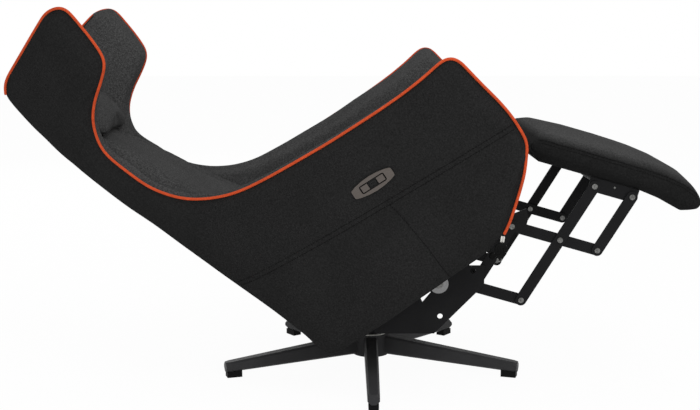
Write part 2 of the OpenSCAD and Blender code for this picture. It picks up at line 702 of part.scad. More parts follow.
// The upper edge starts to fall inwards behind the wings, and its crown ends at the front corner
band_start = 6;
band_full = 11;
crown_fade = 19;
crown_end = 24;
drop_start = 13;
drop_full = 18;
function ramp(s, low, high) = max(0, min(1, (s - low) / (high - low)));
function drop(s) = inner_drop * ramp(s, drop_start, drop_full);
function crown(s) = band_crown * ramp(s, band_start, band_full) * (1 - ramp(s, crown_fade, crown_end));
face_shares = [0.25, 0.5, 0.75];
inner_shares = [0.67, 0.33];
band_shares = [0.7, 0.35];
edge_share = 0.3;
function on_face(p, y) = [p[0], -y, p[1]];
function panel_ring(s) = let (
    u = along(upper_keys, s), l = along(lower_keys, s), down = unit(l - u), in = u + down * drop(s),
    nu = inward(upper_keys, lower_keys, s), nl = inward(lower_keys, upper_keys, s),
    ro = panel_outer_r, ri = panel_inner_r, eo = roll(end_gap(s), ro), ei = roll(end_gap(s), ri),
    uo = u + nu * ro, lo = l + nl * ro, ui = in + down * ri, li = l + nl * ri, k = edge_share) concat(
    [on_face(uo, w_out(uo[0]) - eo)],
    [for (f = face_shares) let (p = blend(uo, lo, f)) on_face(p, w_out(p[0]) - eo)],
    [on_face(lo, w_out(lo[0]) - eo), on_face(l + nl * ro * k, w_out(l[0]) - ro * k - eo),
        on_face(l, w_out(l[0]) - ro - eo), on_face(l, w_in(l[0]) + ri + ei),
        on_face(l + nl * ri * k, w_in(l[0]) + ri * k + ei), on_face(li, w_in(li[0]) + ei)],
    [for (f = inner_shares) let (p = blend(ui, li, f)) on_face(p, w_in(p[0]) + ei)],
    [on_face(ui, w_in(ui[0]) + ei), on_face(in + down * ri * k, w_in(in[0]) + ri * k + ei),
        on_face(in, w_in(in[0]) + ri + ei)],
    [for (f = band_shares) on_face(blend(u, in, f) - nu * crown(s) * 4 * f * (1 - f),
        blend(w_out(u[0]) - ro - eo, w_in(in[0]) + ri + ei, f))],
    [on_face(u, w_out(u[0]) - ro - eo), on_face(u + nu * ro * k, w_out(u[0]) - ro * k - eo)]);
plate_lip_l = 7;
plate_lip_h = 5;
pocket_l = switch_l - 2 * plate_lip_l;
pocket_h = switch_h - 2 * plate_lip_h;
pocket_t = 24;
pocket_gap = 0.2;
// The control plate lies square to the panel's outer face at its middle
switch_turn = atan2(w_out(switch_x + switch_l / 2) - w_out(switch_x - switch_l / 2), switch_l);
module at_switch() {
    translate([switch_x, -w_out(switch_x), switch_z]) rotate([0, 0, -switch_turn])
        rotate([0, -switch_deg, 0]) rotate([90, 0, 0]) children();
}
module slot_outline(l, h) { translate([-l / 2 + h / 2, 0]) circle(h / 2); translate([l / 2 - h / 2, 0]) circle(h / 2);
    translate([-l / 2 + h / 2, -h / 2]) square([l - h, h]); }
// The control plate bulges along its long edges and is cut at its ends
lens_shares = [[1, 0.38], [0.965, 0.55], [0.75, 0.75], [0.4, 0.93], [0, 1]];
function lens(l, h) = let (q = [for (k = lens_shares) [k[0] * l / 2, k[1] * h / 2]], back = [len(q) - 2:-1:0])
    concat(q, [for (i = back) [-q[i][0], q[i][1]]], [for (p = q) -p], [for (i = back) [q[i][0], -q[i][1]]]);
corner_steps = 3;
function rounded(l, h, r) = [for (q = [0:3], k = [0:corner_steps]) let (a = (q + k / corner_steps) * 90)
    [(q == 0 || q == 3 ? 1 : -1) * (l / 2 - r) + r * cos(a), (q < 2 ? 1 : -1) * (h / 2 - r) + r * sin(a)]];
plate_seat = 1.2;
module side_panel() {
    in_shell() loft([for (s = panel_steps) panel_ring(s)]);
}
module left_side_panel() { color([0.13, 0.13, 0.135]) on_side(true) side_panel(); }
module right_side_panel() {
    color([0.13, 0.13, 0.135]) difference() {
        side_panel();
        in_shell() at_switch() translate([0, 0, -pocket_t - pocket_gap]) linear_extrude(pocket_t + 2 * over + pocket_gap)
            slot_outline(pocket_l + 2 * pocket_gap, pocket_h + 2 * pocket_gap);
    }
}

// Piping: one tube along the top edge, the upper edge and the front of each side panel
piping_fn = 6;
top_shares = [1, 0.8, 0.55, 0.3, 0.12];
piping_stop = 4;
piping_end = last_key - piping_stop;
piping_start = 2;
piping_lift = (panel_outer_r + piping_d / 2 + soft_gap) * cos(45) - panel_outer_r;
function out_of(n, p) = [p[0] - n[0] * piping_lift, -w_out(p[0]) - piping_lift, p[1] - n[1] * piping_lift];
function top_edge(f) = blend(along(upper_keys, 0), along(lower_keys, 0), f);
top_dir = unit(top_edge(1) - top_edge(0));
top_in = [-top_dir[1], top_dir[0]];
inner_steps = [for (i = [1:len(panel_steps) - 2]) panel_steps[i]];
piping_path = concat(
    [for (s = [piping_start : -fine_step : fine_step]) out_of(inward(lower_keys, upper_keys, s), along(lower_keys, s))],
    [for (f = top_shares) out_of(top_in, top_edge(f))],
    [for (s = inner_steps) out_of(inward(upper_keys, lower_keys, s), along(upper_keys, s))],
    [for (s = [last_key - end_steps[1] : -fine_step : piping_end]) out_of(inward(lower_keys, upper_keys, s), along(lower_keys, s))]);
function tube_rings(path, r, n) = [for (i = [0:len(path) - 1]) let (
    t = unit(path[min(i + 1, len(path) - 1)] - path[max(i - 1, 0)]),
    a = unit(cross(t, [0, 1, 0])), b = cross(t, a))
    [for (k = [0:n - 1]) path[i] + r * (cos(k * 360 / n) * a + sin(k * 360 / n) * b)]];
module piping(left) {
    color([0.78, 0.33, 0.19]) on_side(left) in_shell() loft(tube_rings(piping_path, piping_d / 2, piping_fn));
}
module left_piping() { piping(true); }
module right_piping() { piping(false); }

// A strap with a buckle hangs from each piping's lower end
clip_t = 7;
clip_deg = -132;
clip_gap = 0.3;
clip_out = 1.5;
buckle = [[0, 4], [9, 5], [15, 13], [30, 12], [37, 8]];
clip_at = piping_path[len(piping_path) - 1];
piping_end_dir = unit(clip_at - piping_path[len(piping_path) - 2]);
clip_dir = [cos(clip_deg), 0, sin(clip_deg)];
clip_start = piping_d / 2 * norm(cross(clip_dir, piping_end_dir)) + clip_gap;
module piping_clips() {
    color([0.06, 0.06, 0.06]) both_sides() in_shell() translate([clip_at[0], clip_at[1] + clip_t / 2 - clip_out, clip_at[2]])
        rotate([0, -clip_deg, 0]) translate([clip_start, 0, 0]) rotate([90, 0, 0]) linear_extrude(clip_t)
            polygon(concat([for (p = buckle) [p[0], -p[1]]], [for (i = [len(buckle) - 1:-1:0]) buckle[i]]));
}

// Cushions are rings across the width: half width, side rounding and crown follow the place along them
side_shares = [1, 0.97, 0.8, 0.5, 0, -0.5, -0.8, -0.97, -1];
function dome(f) = 1 - pow(abs(f), 3);

// Back cushion: places of its front, along the shell's length and from the seat to the shell's top
seat_low = beam_low + beam_h + web_t + soft_gap;
back_lift = 13;
back_top_share = 0.957;
back_shares = [[0.442, 0], [0.440, 0.062], [0.432, 0.118], [0.398, 0.167], [0.345, 0.229], [0.290, 0.310],
    [0.240, 0.403], [0.200, 0.496], [0.156, 0.597], [0.124, 0.657], [0.1155, 0.697], [0.100, 0.768], [0.086, 0.843],
    [0.072, 0.915], [0.061, 0.969], [0.050, 1]];
back_keys = [for (k = back_shares) [shell_rear + k[0] * shell_l, blend(seat_low + back_lift, shell_low + shell_h * back_top_share, k[1])]];
back_hollow = 4;

// Seat cushion, from its rear to its front
cushion_rear = back_keys[0][0] + back_hollow + 2 * soft_gap;
seat_len = cushion_front - cushion_rear;
seat_shares = [[0, 0.12], [0.02, 0.55], [0.08, 0.85], [0.2, 0.96], [0.4, 1], [0.6, 1], [0.8, 1], [0.92, 0.93], [0.98, 0.7], [1, 0.3]];
seat_edge = 12;
function seat_ring(f, h) = let (
    x = cushion_rear + f * seat_len, w = w_in(x) - side_gap,
    top = cushion_top - cushion_drop * (1 - f), z = blend(seat_low + seat_edge, top, h)) concat(
    [for (k = side_shares) [x, k * w, z + (abs(k) == 1 ? -seat_edge : 0) + cushion_crown * dome(k) * h]],
    [[x, -w + seat_edge, seat_low], [x, w - seat_edge, seat_low]]);
module seat_cushion() { color([0.22, 0.22, 0.23]) in_shell() loft([for (s = seat_shares) seat_ring(s[0], s[1])]); }

// Back: the rear line of the side panels gives the cover, the board and the cushion their places
rear_line = [for (s = [19:-1:3]) lower_keys[s]];
function rear_at(z, i = 0) = i >= len(rear_line) - 2 || rear_line[i + 1][1] > z
    ? blend(rear_line[i][0], rear_line[i + 1][0], (z - rear_line[i][1]) / (rear_line[i + 1][1] - rear_line[i][1]))
    : rear_at(z, i + 1);
cover_rise = 30;
cover_top_share = 0.918;
cover_low = shell_low + cover_rise;
cover_top = shell_low + shell_h * cover_top_share;
cover_steps = 12;
cover_side_shares = [-1, -0.6, 0, 0.6, 1];
cover_bow = 8;
cover_inset = 6;
function slab_ring(z, back, t, bulge) = let (x = rear_at(z) + back, w = w_in(x) - side_gap) concat(
    [for (k = cover_side_shares) [x - bulge * (1 - k * k), -k * w, z]],
    [for (k = cover_side_shares) [x + t - bulge * (1 - k * k), k * (w_in(x + t) - side_gap), z]]);
module slab(low, top, back, t, bulge) {
    loft([for (i = [0:cover_steps]) slab_ring(blend(low, top, i / cover_steps), back, t, bulge)]);
}
module rear_cover() { color([0.13, 0.13, 0.135]) in_shell() slab(cover_low, cover_top, cover_inset, cover_t, cover_bow); }
board_back = cover_inset + cover_t + soft_gap;
module back_board() { color([0.72, 0.56, 0.36]) in_shell() slab(cover_low + cover_t, cover_top - cover_t, board_back, board_t, cover_bow); }

back_edge = 10;
board_gap = 2;
back_side_shares = [-1, -0.95, -0.6, 0, 0.6, 0.95, 1];
function back_ring(s) = let (
    p = along(back_keys, s), z = p[1], rear = rear_at(min(z, cover_top - cover_t)) + board_back + board_t + board_gap,
    x = max(p[0], rear + 2 * soft_gap), e = min(back_edge, (x - rear) / 2)) concat(
    [for (k = back_side_shares) let (at = x + (abs(k) == 1 ? -e : back_hollow * k * k)) [at, k * (w_in(min(at, x)) - side_gap), z]],
    [for (k = cover_side_shares) [rear - cover_bow * (1 - k * k), -k * (w_in(rear) - side_gap), z]]);
module back_cushion() {
    color([0.22, 0.22, 0.23]) in_shell() loft([for (s = [0:fine_step:len(back_keys) - 1]) back_ring(s)]);
}

// Head pillow: a soft roll with drawn-in ends, lying on the back cushion
pillow_shares = [[-1, 0.15], [-0.97, 0.5], [-0.85, 0.8], [-0.6, 0.95], [0, 1], [0.6, 0.95], [0.85, 0.8], [0.97, 0.5], [1, 0.15]];
pillow_fn = 14;
pillow_squareness = 0.75;
pillow_end_share = 0.45;
pillow_gap = 0.9;
head_keys = [back_keys[10], back_keys[14]];
pillow_deg = atan2(head_keys[0][0] - head_keys[1][0], head_keys[1][1] - head_keys[0][1]);
pillow_z = shell_low + shell_h - pillow_drop;
function back_front(z, i = 1) = i >= len(back_keys) - 1 || back_keys[i][1] > z
    ? blend(back_keys[i - 1][0], back_keys[i][0], (z - back_keys[i - 1][1]) / (back_keys[i][1] - back_keys[i - 1][1]))
    : back_front(z, i + 1);
pillow_x = back_front(pillow_z) + pillow_t / 2 / cos(pillow_deg) + pillow_gap;
pillow_half_w = w_in(pillow_x) - pillow_room;
function puff(a, p) = (a < 0 ? -1 : 1) * pow(abs(a), p);
module head_pillow() {
    color([0.26, 0.26, 0.27]) in_shell() translate([pillow_x, 0, pillow_z]) rotate([0, -pillow_deg, 0])
        loft([for (s = pillow_shares) [for (k = [0:pillow_fn - 1]) let (a = -k * 360 / pillow_fn) [
            pillow_t / 2 * s[1] * puff(cos(a), pillow_squareness), s[0] * pillow_half_w,
            pillow_h / 2 * blend(pillow_end_share, 1, s[1]) * puff(sin(a), pillow_squareness)]]]);
}

// Leg rest: pad, board, brackets and crossbar in the frame of the pad's first pivot
module in_pad() { in_shell() translate([pad_pin[0], 0, pad_pin[1]]) rotate([0, -short_deg, 0]) children(); }
pad_len = pad_front - pad_rear;
pad_shares = [[0, 0.5, 0.15], [0.01, 0.2, 0.5], [0.04, 0.06, 0.8], [0.1, 0, 0.92], [0.3, 0, 1], [0.5, 0, 1], [0.65, 0, 0.97],
    [0.78, 0, 0.92], [0.88, 0, 0.88], [0.95, 0.06, 0.78], [0.985, 0.2, 0.6], [1, 0.45, 0.3]];
pad_edge = 8;
pad_tuck_share = 0.25;
droop_start_share = 0.66;
function droop(f) = pad_droop * pow(max(0, (f - droop_start_share) / (1 - droop_start_share)), 2);
function pad_ring(f, lift, h) = let (
    x = pad_rear + f * pad_len, d = droop(f), low = pad_low + soft_gap / 2 - d + lift * (pad_seam - pad_low),
    side = blend(low, pad_seam - d, h), top = blend(low, pad_crown - d, h), w = pad_half_w) concat(
    [for (k = side_shares) [x, k * w, abs(k) == 1 ? side : blend(side, top, dome(k))]],
    [[x, -w, blend(low, side, pad_tuck_share)], [x, -w + pad_edge, low], [x, w - pad_edge, low],
        [x, w, blend(low, side, pad_tuck_share)]]);
module leg_rest_pad() {
    color([0.2, 0.2, 0.21]) in_pad() loft([for (s = pad_shares) pad_ring(s[0], s[1], s[2])]);
}
pad_board_inset = 35;
pad_board_front = 96;
module pad_board() {
    color([0.1, 0.1, 0.1]) in_pad() translate([pad_rear + pad_board_inset, pad_board_inset - pad_half_w, pad_low - pad_board_t])
        cube([pad_board_front - pad_rear - pad_board_inset, 2 * (pad_half_w - pad_board_inset), pad_board_t]);
}
bracket_flange = 20;
bracket_t = 3;
bracket_top = pad_low - pad_board_t;
module pad_bracket(left) {
    color([0.12, 0.12, 0.13]) on_side(left) in_pad() {
        flat(-link_y - link_t, link_t) difference() {
            union() {
                translate([0, -link_w / 2]) square([outer_l, link_w / 2 + bracket_top]);
                circle(link_w / 2);
                translate([outer_l, 0]) circle(link_w / 2);
                translate([-link_w / 2, 0]) square([outer_l + link_w, bracket_top]);
            }
            circle(turning_r);
            translate([outer_l, 0]) circle(loose_r);
        }
        translate([-link_w / 2, -link_y, bracket_top - bracket_t]) cube([outer_l + link_w, bracket_flange, bracket_t]);
    }
}
module left_pad_bracket() { pad_bracket(true); }
module right_pad_bracket() { pad_bracket(false); }
crossbar_r = 7;
module pad_crossbar() {
    color([0.12, 0.12, 0.13]) in_pad() translate([outer_l / 2, 0, 0]) pin([0, 0], -link_y, 2 * link_y, crossbar_r);
}

// Control panel in the right arm: housing in the pocket, bright plate, socket and two buttons
housing_wall = 2;
button_w = 16;
button_h = 13;
button_room = 6.7;
button_t = pocket_t - housing_wall + plate_seat + switch_t - button_travel - button_room;
button_at = 19;
usb_w = 13;
usb_h = 7;
usb_t = 8;
usb_wall = 1;
window_l = 60;
window_h = 18;
window_r = 4;
button_gap = 0.3;
recess_t = 3;
module switch_housing() {
    color([0.05, 0.05, 0.05]) in_shell() at_switch() difference() {
        translate([0, 0, -pocket_t]) linear_extrude(pocket_t + plate_seat) slot_outline(pocket_l, pocket_h);
        translate([0, 0, -recess_t]) linear_extrude(pocket_t) polygon(rounded(window_l, window_h, window_r));
        for (s = [-1, 1]) translate([s * button_at, 0, -pocket_t + housing_wall]) linear_extrude(pocket_t)
            square([button_w + 2 * button_gap, button_h + 2 * button_gap], center = true);
        translate([0, 0, -pocket_t + housing_wall]) linear_extrude(pocket_t) square([usb_w, usb_h], center = true);
    }
}
module switch_plate() {
    color([0.45, 0.43, 0.41]) in_shell() at_switch() translate([0, 0, plate_seat]) difference() {
        linear_extrude(switch_t) polygon(lens(switch_l, switch_h));
        translate([0, 0, -over]) linear_extrude(switch_t + 2 * over) polygon(rounded(window_l, window_h, window_r));
    }
}
module usb_socket() {
    color([0.1, 0.1, 0.1]) in_shell() at_switch() difference() {
        translate([-usb_w / 2, -usb_h / 2, housing_wall - pocket_t]) cube([usb_w, usb_h, pocket_t - housing_wall]);
        translate([-usb_w / 2 + usb_wall, -usb_h / 2 + usb_wall, -usb_t])
            cube([usb_w - 2 * usb_wall, usb_h - 2 * usb_wall, usb_t + over]);
    }
}
module button(x) {
    color([0.7, 0.69, 0.67]) in_shell() at_switch()
        translate([x - button_w / 2, -button_h / 2, plate_seat + switch_t - button_t])
            cube([button_w, button_h, button_t]);
}
module recline_button() { button(-button_at); }
module leg_rest_button() { button(button_at); }

star_base();
foot_glides();
swivel_post();
thrust_washer();
swivel_plate();
cross_tubes();
left_side_plate();
right_side_plate();
tilt_bolts();
tilt_rings();
left_seat_plate();
right_seat_plate();
tilt_bushes();
link_studs();
seat_frame();
seat_beams();
seat_webbing();
back_board();
left_side_panel();
right_side_panel();
left_piping();
right_piping();
piping_clips();
seat_cushion();
back_cushion();
rear_cover();
head_pillow();
switch_housing();
switch_plate();
usb_socket();
recline_button();
leg_rest_button();
recline_motor_tube();
leg_rest_motor_tube();
recline_motor();
recline_rod();
leg_rest_motor();
leg_rest_rod();
left_rear_link();
right_rear_link();
push_shaft();
rear_link_rivets();
left_cross_link();
right_cross_link();
cross_link_rivets();
left_long_link();
right_long_link();
long_link_rivets();
left_front_link();
right_front_link();
front_link_rivets();
left_crank_link();
right_crank_link();
crank_link_rivets();
left_pad_bracket();
right_pad_bracket();
pad_crossbar();
pad_board();
leg_rest_pad();
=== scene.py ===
import json
import math
from contextlib import contextmanager

import bmesh
import bpy
import numpy as np
from bpy.props import FloatProperty, FloatVectorProperty, IntProperty, PointerProperty
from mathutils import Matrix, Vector, noise
from mathutils.bvhtree import BVHTree
from mathutils.kdtree import KDTree


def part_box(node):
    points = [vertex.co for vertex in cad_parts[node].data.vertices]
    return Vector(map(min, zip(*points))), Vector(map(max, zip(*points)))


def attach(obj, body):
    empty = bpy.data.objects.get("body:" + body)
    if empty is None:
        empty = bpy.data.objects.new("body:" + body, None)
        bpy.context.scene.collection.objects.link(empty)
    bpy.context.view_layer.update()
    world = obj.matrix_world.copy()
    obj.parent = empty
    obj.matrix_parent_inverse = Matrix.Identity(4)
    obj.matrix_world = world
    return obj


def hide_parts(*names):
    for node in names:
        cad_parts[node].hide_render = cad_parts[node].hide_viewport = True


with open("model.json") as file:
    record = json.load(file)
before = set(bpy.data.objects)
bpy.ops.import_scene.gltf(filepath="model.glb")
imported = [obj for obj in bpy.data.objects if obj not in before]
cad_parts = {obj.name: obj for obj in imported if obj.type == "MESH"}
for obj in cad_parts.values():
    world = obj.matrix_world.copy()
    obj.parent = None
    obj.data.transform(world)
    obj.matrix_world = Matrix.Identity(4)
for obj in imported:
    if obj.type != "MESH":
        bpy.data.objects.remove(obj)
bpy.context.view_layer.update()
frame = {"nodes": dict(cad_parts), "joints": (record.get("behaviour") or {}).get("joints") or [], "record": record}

bl_info = {
    "name": "Swivel Recliner",
    "version": (1, 0, 0),
    "blender": (4, 5, 0),
    "location": "3D View > Sidebar > Recliner",
    "description": "Dresses the frame of a swivelling recliner: upholstery, piping, seams, metal and stage",
    "category": "Object",
}

JOINTS = {joint["name"]: joint for joint in frame["joints"]}
TILT = Vector(JOINTS["recline"]["pos_m"])
LEAN = math.radians(JOINTS["recline"]["range_deg"][1])
PAD_PIVOT = Vector(JOINTS["leg_rest_turn"]["pos_m"])
PAD_TURN = math.radians(15.9)
SIDES = {"left": 1, "right": -1}


def srgb(red, green, blue):
    """A colour that is written as 0 to 255, as the linear values that a shader takes."""
    def linear(value):
        share = value / 255
        return share / 12.92 if share <= 0.04045 else ((share + 0.055) / 1.055) ** 2.4
    return tuple(linear(value) for value in (red, green, blue))


def length(name, about, default, **limits):
    return FloatProperty(name=name, description=about, default=default, unit="LENGTH", **limits)


def colour(name, about, default):
    return FloatVectorProperty(name=name, description=about, default=default, subtype="COLOR", min=0, max=1)


def power(name, about, default):
    return FloatProperty(name=name, description=about, default=default, unit="POWER")


class PanelSizes(bpy.types.PropertyGroup):
    """Sizes of the two side panels, in the upright seat shell's frame with the tilt axis as origin."""
    rear: length("Rear", "Rear point of the shell from the tilt axis", -0.560)
    low: length("Low", "Lowest point of the shell from the tilt axis", 0.004)
    depth: length("Depth", "Length of the shell from rear to front", 0.875)
    height: length("Height", "Height of the shell", 0.941)
    arm_half_width: length("Arm half width", "Half width of the shell over the front of the arms", 0.402)
    taper: length("Taper", "How much the shell narrows evenly to the rear", 0.140)
    taper_front: length("Taper front", "Where the taper starts, from the tilt axis", 0.315)
    taper_length: length("Taper length", "Length over which the shell narrows", 0.8409)
    wing_bow: length("Wing bow", "How much the wings bow inwards besides", 0.131)
    thickness: length("Thickness", "Thickness of a panel at its front", 0.115)
    thickness_loss: length("Thickness loss", "How much thinner a panel is at its rear", 0.075)
    outer_round: length("Outer rounding", "Rounding of a panel's outer edge", 0.008)
    inner_round: length("Inner rounding", "Rounding of a panel's inner edge", 0.016)
    inner_drop: length("Inner drop", "How much lower a panel's inner edge is than its outer one", 0.020)
    crown: length("Crown", "Crown of the padding along a panel's upper edge", 0.014)
    edge_fall: length("Edge fall", "How far the padded outer face falls back at its edges", 0.0070)
    edge_reach: length("Edge reach", "Width over which the padded outer face falls back", 0.044)
    piping: length("Piping", "Diameter of the piping", 0.006)


class SoftSizes(bpy.types.PropertyGroup):
    """Sizes of the simulated upholstery and its seams."""
    voxel: length("Voxel", "Grid of the simulated cloth", 0.0055)
    pressure: FloatProperty(name="Pressure", description="Pressure that fills the cushions", default=4.0)
    frames: IntProperty(name="Frames", description="Steps of the cloth simulation", default=20, min=2)
    seat_swell: length("Seat swell", "How far the seat cushion's cover may move", 0.014)
    back_swell: length("Back swell", "How far the back cushion's cover may move", 0.014)
    pillow_swell: length("Pillow swell", "How far the pillow's cover may move", 0.010)
    pad_swell: length("Pad swell", "How far the leg rest pad's cover may move", 0.008)
    wall_gap: length("Wall gap", "Room between the cushions and the side panels", 0.0015)
    thread: length("Thread", "Diameter of the sewing thread", 0.0013)
    stitch: length("Stitch", "Length of a stitch", 0.0050)
    stitch_pitch: length("Stitch pitch", "Distance from one stitch to the next", 0.0062)
    groove: length("Groove", "Depth of a sewn seam", 0.0024)
    groove_width: length("Groove width", "Half width of a sewn seam's hollow", 0.0050)


class Colours(bpy.types.PropertyGroup):
    """Colours of the finishes."""
    outer: colour("Outer fabric", "Fabric outside the side panels", srgb(36, 36, 36))
    inner: colour("Inner fabric", "Heather fabric of the seat, back and arms", srgb(64, 64, 64))
    pad_side: colour("Pad side", "Fabric round the leg rest pad", srgb(30, 30, 30))
    piping: colour("Piping", "Piping on the side panels", srgb(200, 76, 38))
    steel: colour("Coated steel", "Powder coat on links, plates and tubes", srgb(24, 24, 25))
    legs: colour("Star base", "Paint on the star base", srgb(55, 55, 56))
    zinc: colour("Bright zinc", "Rivets, studs, rods and the post", srgb(118, 118, 116))
    ring: colour("Cast zinc", "Rings on the tilt bolts", srgb(130, 130, 130))
    nickel: colour("Brushed nickel", "Plate and buttons of the control panel", srgb(99, 93, 89))


class StageSizes(bpy.types.PropertyGroup):
    """Camera and light."""
    camera_place: FloatVectorProperty(name="Camera place", description="Where the camera stands",
                                      default=(-0.0543, -2.7381, 0.8103), subtype="TRANSLATION",
                                      unit="LENGTH")
    camera_pitch: FloatProperty(name="Camera pitch", description="Camera's angle from straight down",
                                default=math.radians(81.06), subtype="ANGLE")
    camera_yaw: FloatProperty(name="Camera yaw", description="Camera's turn about the vertical",
                              default=math.radians(-0.116), subtype="ANGLE")
    lens: FloatProperty(name="Lens", description="Focal length on a 36 mm sensor, in millimetres",
                        default=61.45)
    floor: colour("Floor", "Floor and backdrop", srgb(244, 244, 244))
    key: power("Key light", "Power of the overhead light", 32.0)
    fill: power("Fill light", "Power of the light beside the camera", 46.0)
    rim: power("Rim light", "Power of the light behind", 34.0)
    ambient: FloatProperty(name="Ambient", description="Strength of the even light all round", default=0.62)


class ReclinerSettings(bpy.types.PropertyGroup):
    """All settings of the recliner."""
    panel: PointerProperty(type=PanelSizes)
    soft: PointerProperty(type=SoftSizes)
    paint: PointerProperty(type=Colours)
    stage: PointerProperty(type=StageSizes)


def settings():
    return bpy.context.scene.recliner


# Finishes

LOOK = "recliner_"
SHEEN_ROUGHNESS = 0.45


class Finish:
    """A material with one Principled shader, and short calls for the nodes that the finishes share."""

    def __init__(self, name, roughness, metallic=0.0, specular=0.5, sheen=0.0):
        self.made = bpy.data.materials.new(LOOK + name)
        self.made.use_nodes = True
        self.tree = self.made.node_tree
        self.shader = self.tree.nodes["Principled BSDF"]
        values = {"Roughness": roughness, "Metallic": metallic, "Specular IOR Level": specular,
                  "Sheen Weight": sheen, "Sheen Roughness": SHEEN_ROUGHNESS}
        for socket, value in values.items():
            self.shader.inputs[socket].default_value = value
        self.place = self.add("ShaderNodeTexCoord").outputs["Object"]

    def add(self, kind, **values):
        node = self.tree.nodes.new(kind)
        for socket, value in values.items():
            node.inputs[socket.replace("_", " ")].default_value = value
        return node

    def stretched(self, scale, turn=(0, 0, 0)):
        node = self.add("ShaderNodeMapping", Scale=scale, Rotation=turn)
        self.tree.links.new(self.place, node.inputs["Vector"])
        return node.outputs["Vector"]

    def noise(self, scale, detail=2.0, roughness=0.55, vector=None):
        node = self.add("ShaderNodeTexNoise", Scale=scale, Detail=detail, Roughness=roughness)
        self.tree.links.new(vector or self.place, node.inputs["Vector"])
        return node.outputs["Fac"]

    def cells(self, scale, vector=None):
        node = self.add("ShaderNodeTexVoronoi", Scale=scale)
        self.tree.links.new(vector or self.place, node.inputs["Vector"])
        return node.outputs["Distance"]

    def math(self, operation, first, second=0.5):
        node = self.add("ShaderNodeMath")
        node.operation = operation
        for socket, value in zip(node.inputs, (first, second)):
            if isinstance(value, (int, float)):
                socket.default_value = value
            else:
                self.tree.links.new(value, socket)
        return node.outputs[0]

    def attribute(self, name):
        node = self.add("ShaderNodeAttribute")
        node.attribute_name = name
        return node.outputs["Fac"]

    def ramp(self, source, stops):
        node = self.add("ShaderNodeValToRGB")
        points = node.color_ramp.elements
        while len(points) < len(stops):
            points.new(0.5)
        for point, (place, shade) in zip(points, stops):
            point.position = place
            point.color = (*shade, 1)
        self.tree.links.new(source, node.inputs["Fac"])
        return node.outputs["Color"]

    def mixed(self, factor, first, second, blend="MIX"):
        node = self.tree.nodes.new("ShaderNodeMix")
        node.data_type = "RGBA"
        node.blend_type = blend
        for socket, value in ((node.inputs[0], factor), (node.inputs[6], first), (node.inputs[7], second)):
            if hasattr(value, "node"):
                self.tree.links.new(value, socket)
            else:
                socket.default_value = value if isinstance(value, (int, float)) else (*value, 1)
        return node.outputs[2]

    def coloured(self, source):
        self.tree.links.new(source, self.shader.inputs["Base Color"])

    def rough(self, source, low, high):
        node = self.add("ShaderNodeMapRange", To_Min=low, To_Max=high)
        self.tree.links.new(source, node.inputs["Value"])
        self.tree.links.new(node.outputs["Result"], self.shader.inputs["Roughness"])

    def bumped(self, heights):
        """Adds bumps from (height, distance, strength), each on top of the last."""
        last = None
        for height, distance, strength in heights:
            node = self.add("ShaderNodeBump", Distance=distance, Strength=strength)
            self.tree.links.new(height, node.inputs["Height"])
            if last:
                self.tree.links.new(last, node.inputs["Normal"])
            last = node.outputs["Normal"]
        self.tree.links.new(last, self.shader.inputs["Normal"])


def shade(colour_value, share):
    return tuple(min(1.0, channel * share) for channel in colour_value)


FABRIC_GRAIN = 430
FABRIC_MOTTLE = 300
FABRIC_FOLD = 9
FABRIC_ROUGHNESS = 0.95
OUTER_CONTRAST, INNER_CONTRAST = 0.24, 0.36
OUTER_SHEEN, INNER_SHEEN = 0.015, 0.02
# Height above the pad's seam over which the side's tone fades into the top's: painted shade on the pad's shoulder.
SHOULDER_SHADE_FADE = 0.016
TWILL_PITCH = 0.0026


def grey(share):
    return (share,) * 3


def cloudy(finish, base, scale, detail, low, high):
    """A colour that wanders slowly between two shares of itself."""
    stops = ((0.3, shade(base, low)), (0.7, shade(base, high)))
    finish.coloured(finish.ramp(finish.noise(scale, detail=detail), stops))


def fabric_colour(finish, base, contrast):
    """Heather yarn: light and dark flecks, a soft mottle and a slow change of tone."""
    flecks = finish.noise(FABRIC_GRAIN, detail=3, roughness=0.7)
    dark, light = shade(base, 1 - contrast), shade(base, 1 + 1.6 * contrast)
    yarn = finish.ramp(flecks, ((0.32, dark), (0.52, base), (0.72, light)))
    tones = ((0.34, grey(1 - 0.8 * contrast)), (0.66, grey(1 + 0.84 * contrast)))
    mottle = finish.ramp(finish.noise(FABRIC_MOTTLE, detail=2), tones)
    slow = finish.ramp(finish.noise(FABRIC_FOLD, detail=1), ((0.3, grey(0.93)), (0.7, grey(1.05))))
    return finish.mixed(1.0, finish.mixed(1.0, yarn, mottle, "MULTIPLY"), slow, "MULTIPLY")


def weave(finish):
    """Bumps of the yarn and of the mottle, for bumped."""
    return [(finish.cells(FABRIC_GRAIN), 0.0006, 0.35), (finish.noise(FABRIC_MOTTLE, detail=2), 0.0010, 0.22)]


def fabric(name, base, contrast, sheen):
    finish = Finish(name, FABRIC_ROUGHNESS, sheen=sheen, specular=0.0)
    finish.coloured(fabric_colour(finish, base, contrast))
    finish.bumped(weave(finish) + [(finish.noise(FABRIC_FOLD * 2, detail=1), 0.004, 0.10)])


def pad_fabric(name, top, side):
    """One cover of two fabrics that meet at the seam: the side's darker one and the top's heather. The side's tone
    fades into the top's over the shoulder above the seam, a painted shade where the rounded top turns away from
    the overhead light.
    """
    finish = Finish(name, FABRIC_ROUGHNESS, sheen=INNER_SHEEN, specular=0.0)
    over_seam = finish.math("MULTIPLY", finish.attribute("over_seam"), 1 / SHOULDER_SHADE_FADE)
    side_colour = fabric_colour(finish, side, OUTER_CONTRAST)
    finish.coloured(finish.mixed(over_seam, side_colour, fabric_colour(finish, top, INNER_CONTRAST)))
    finish.bumped(weave(finish))


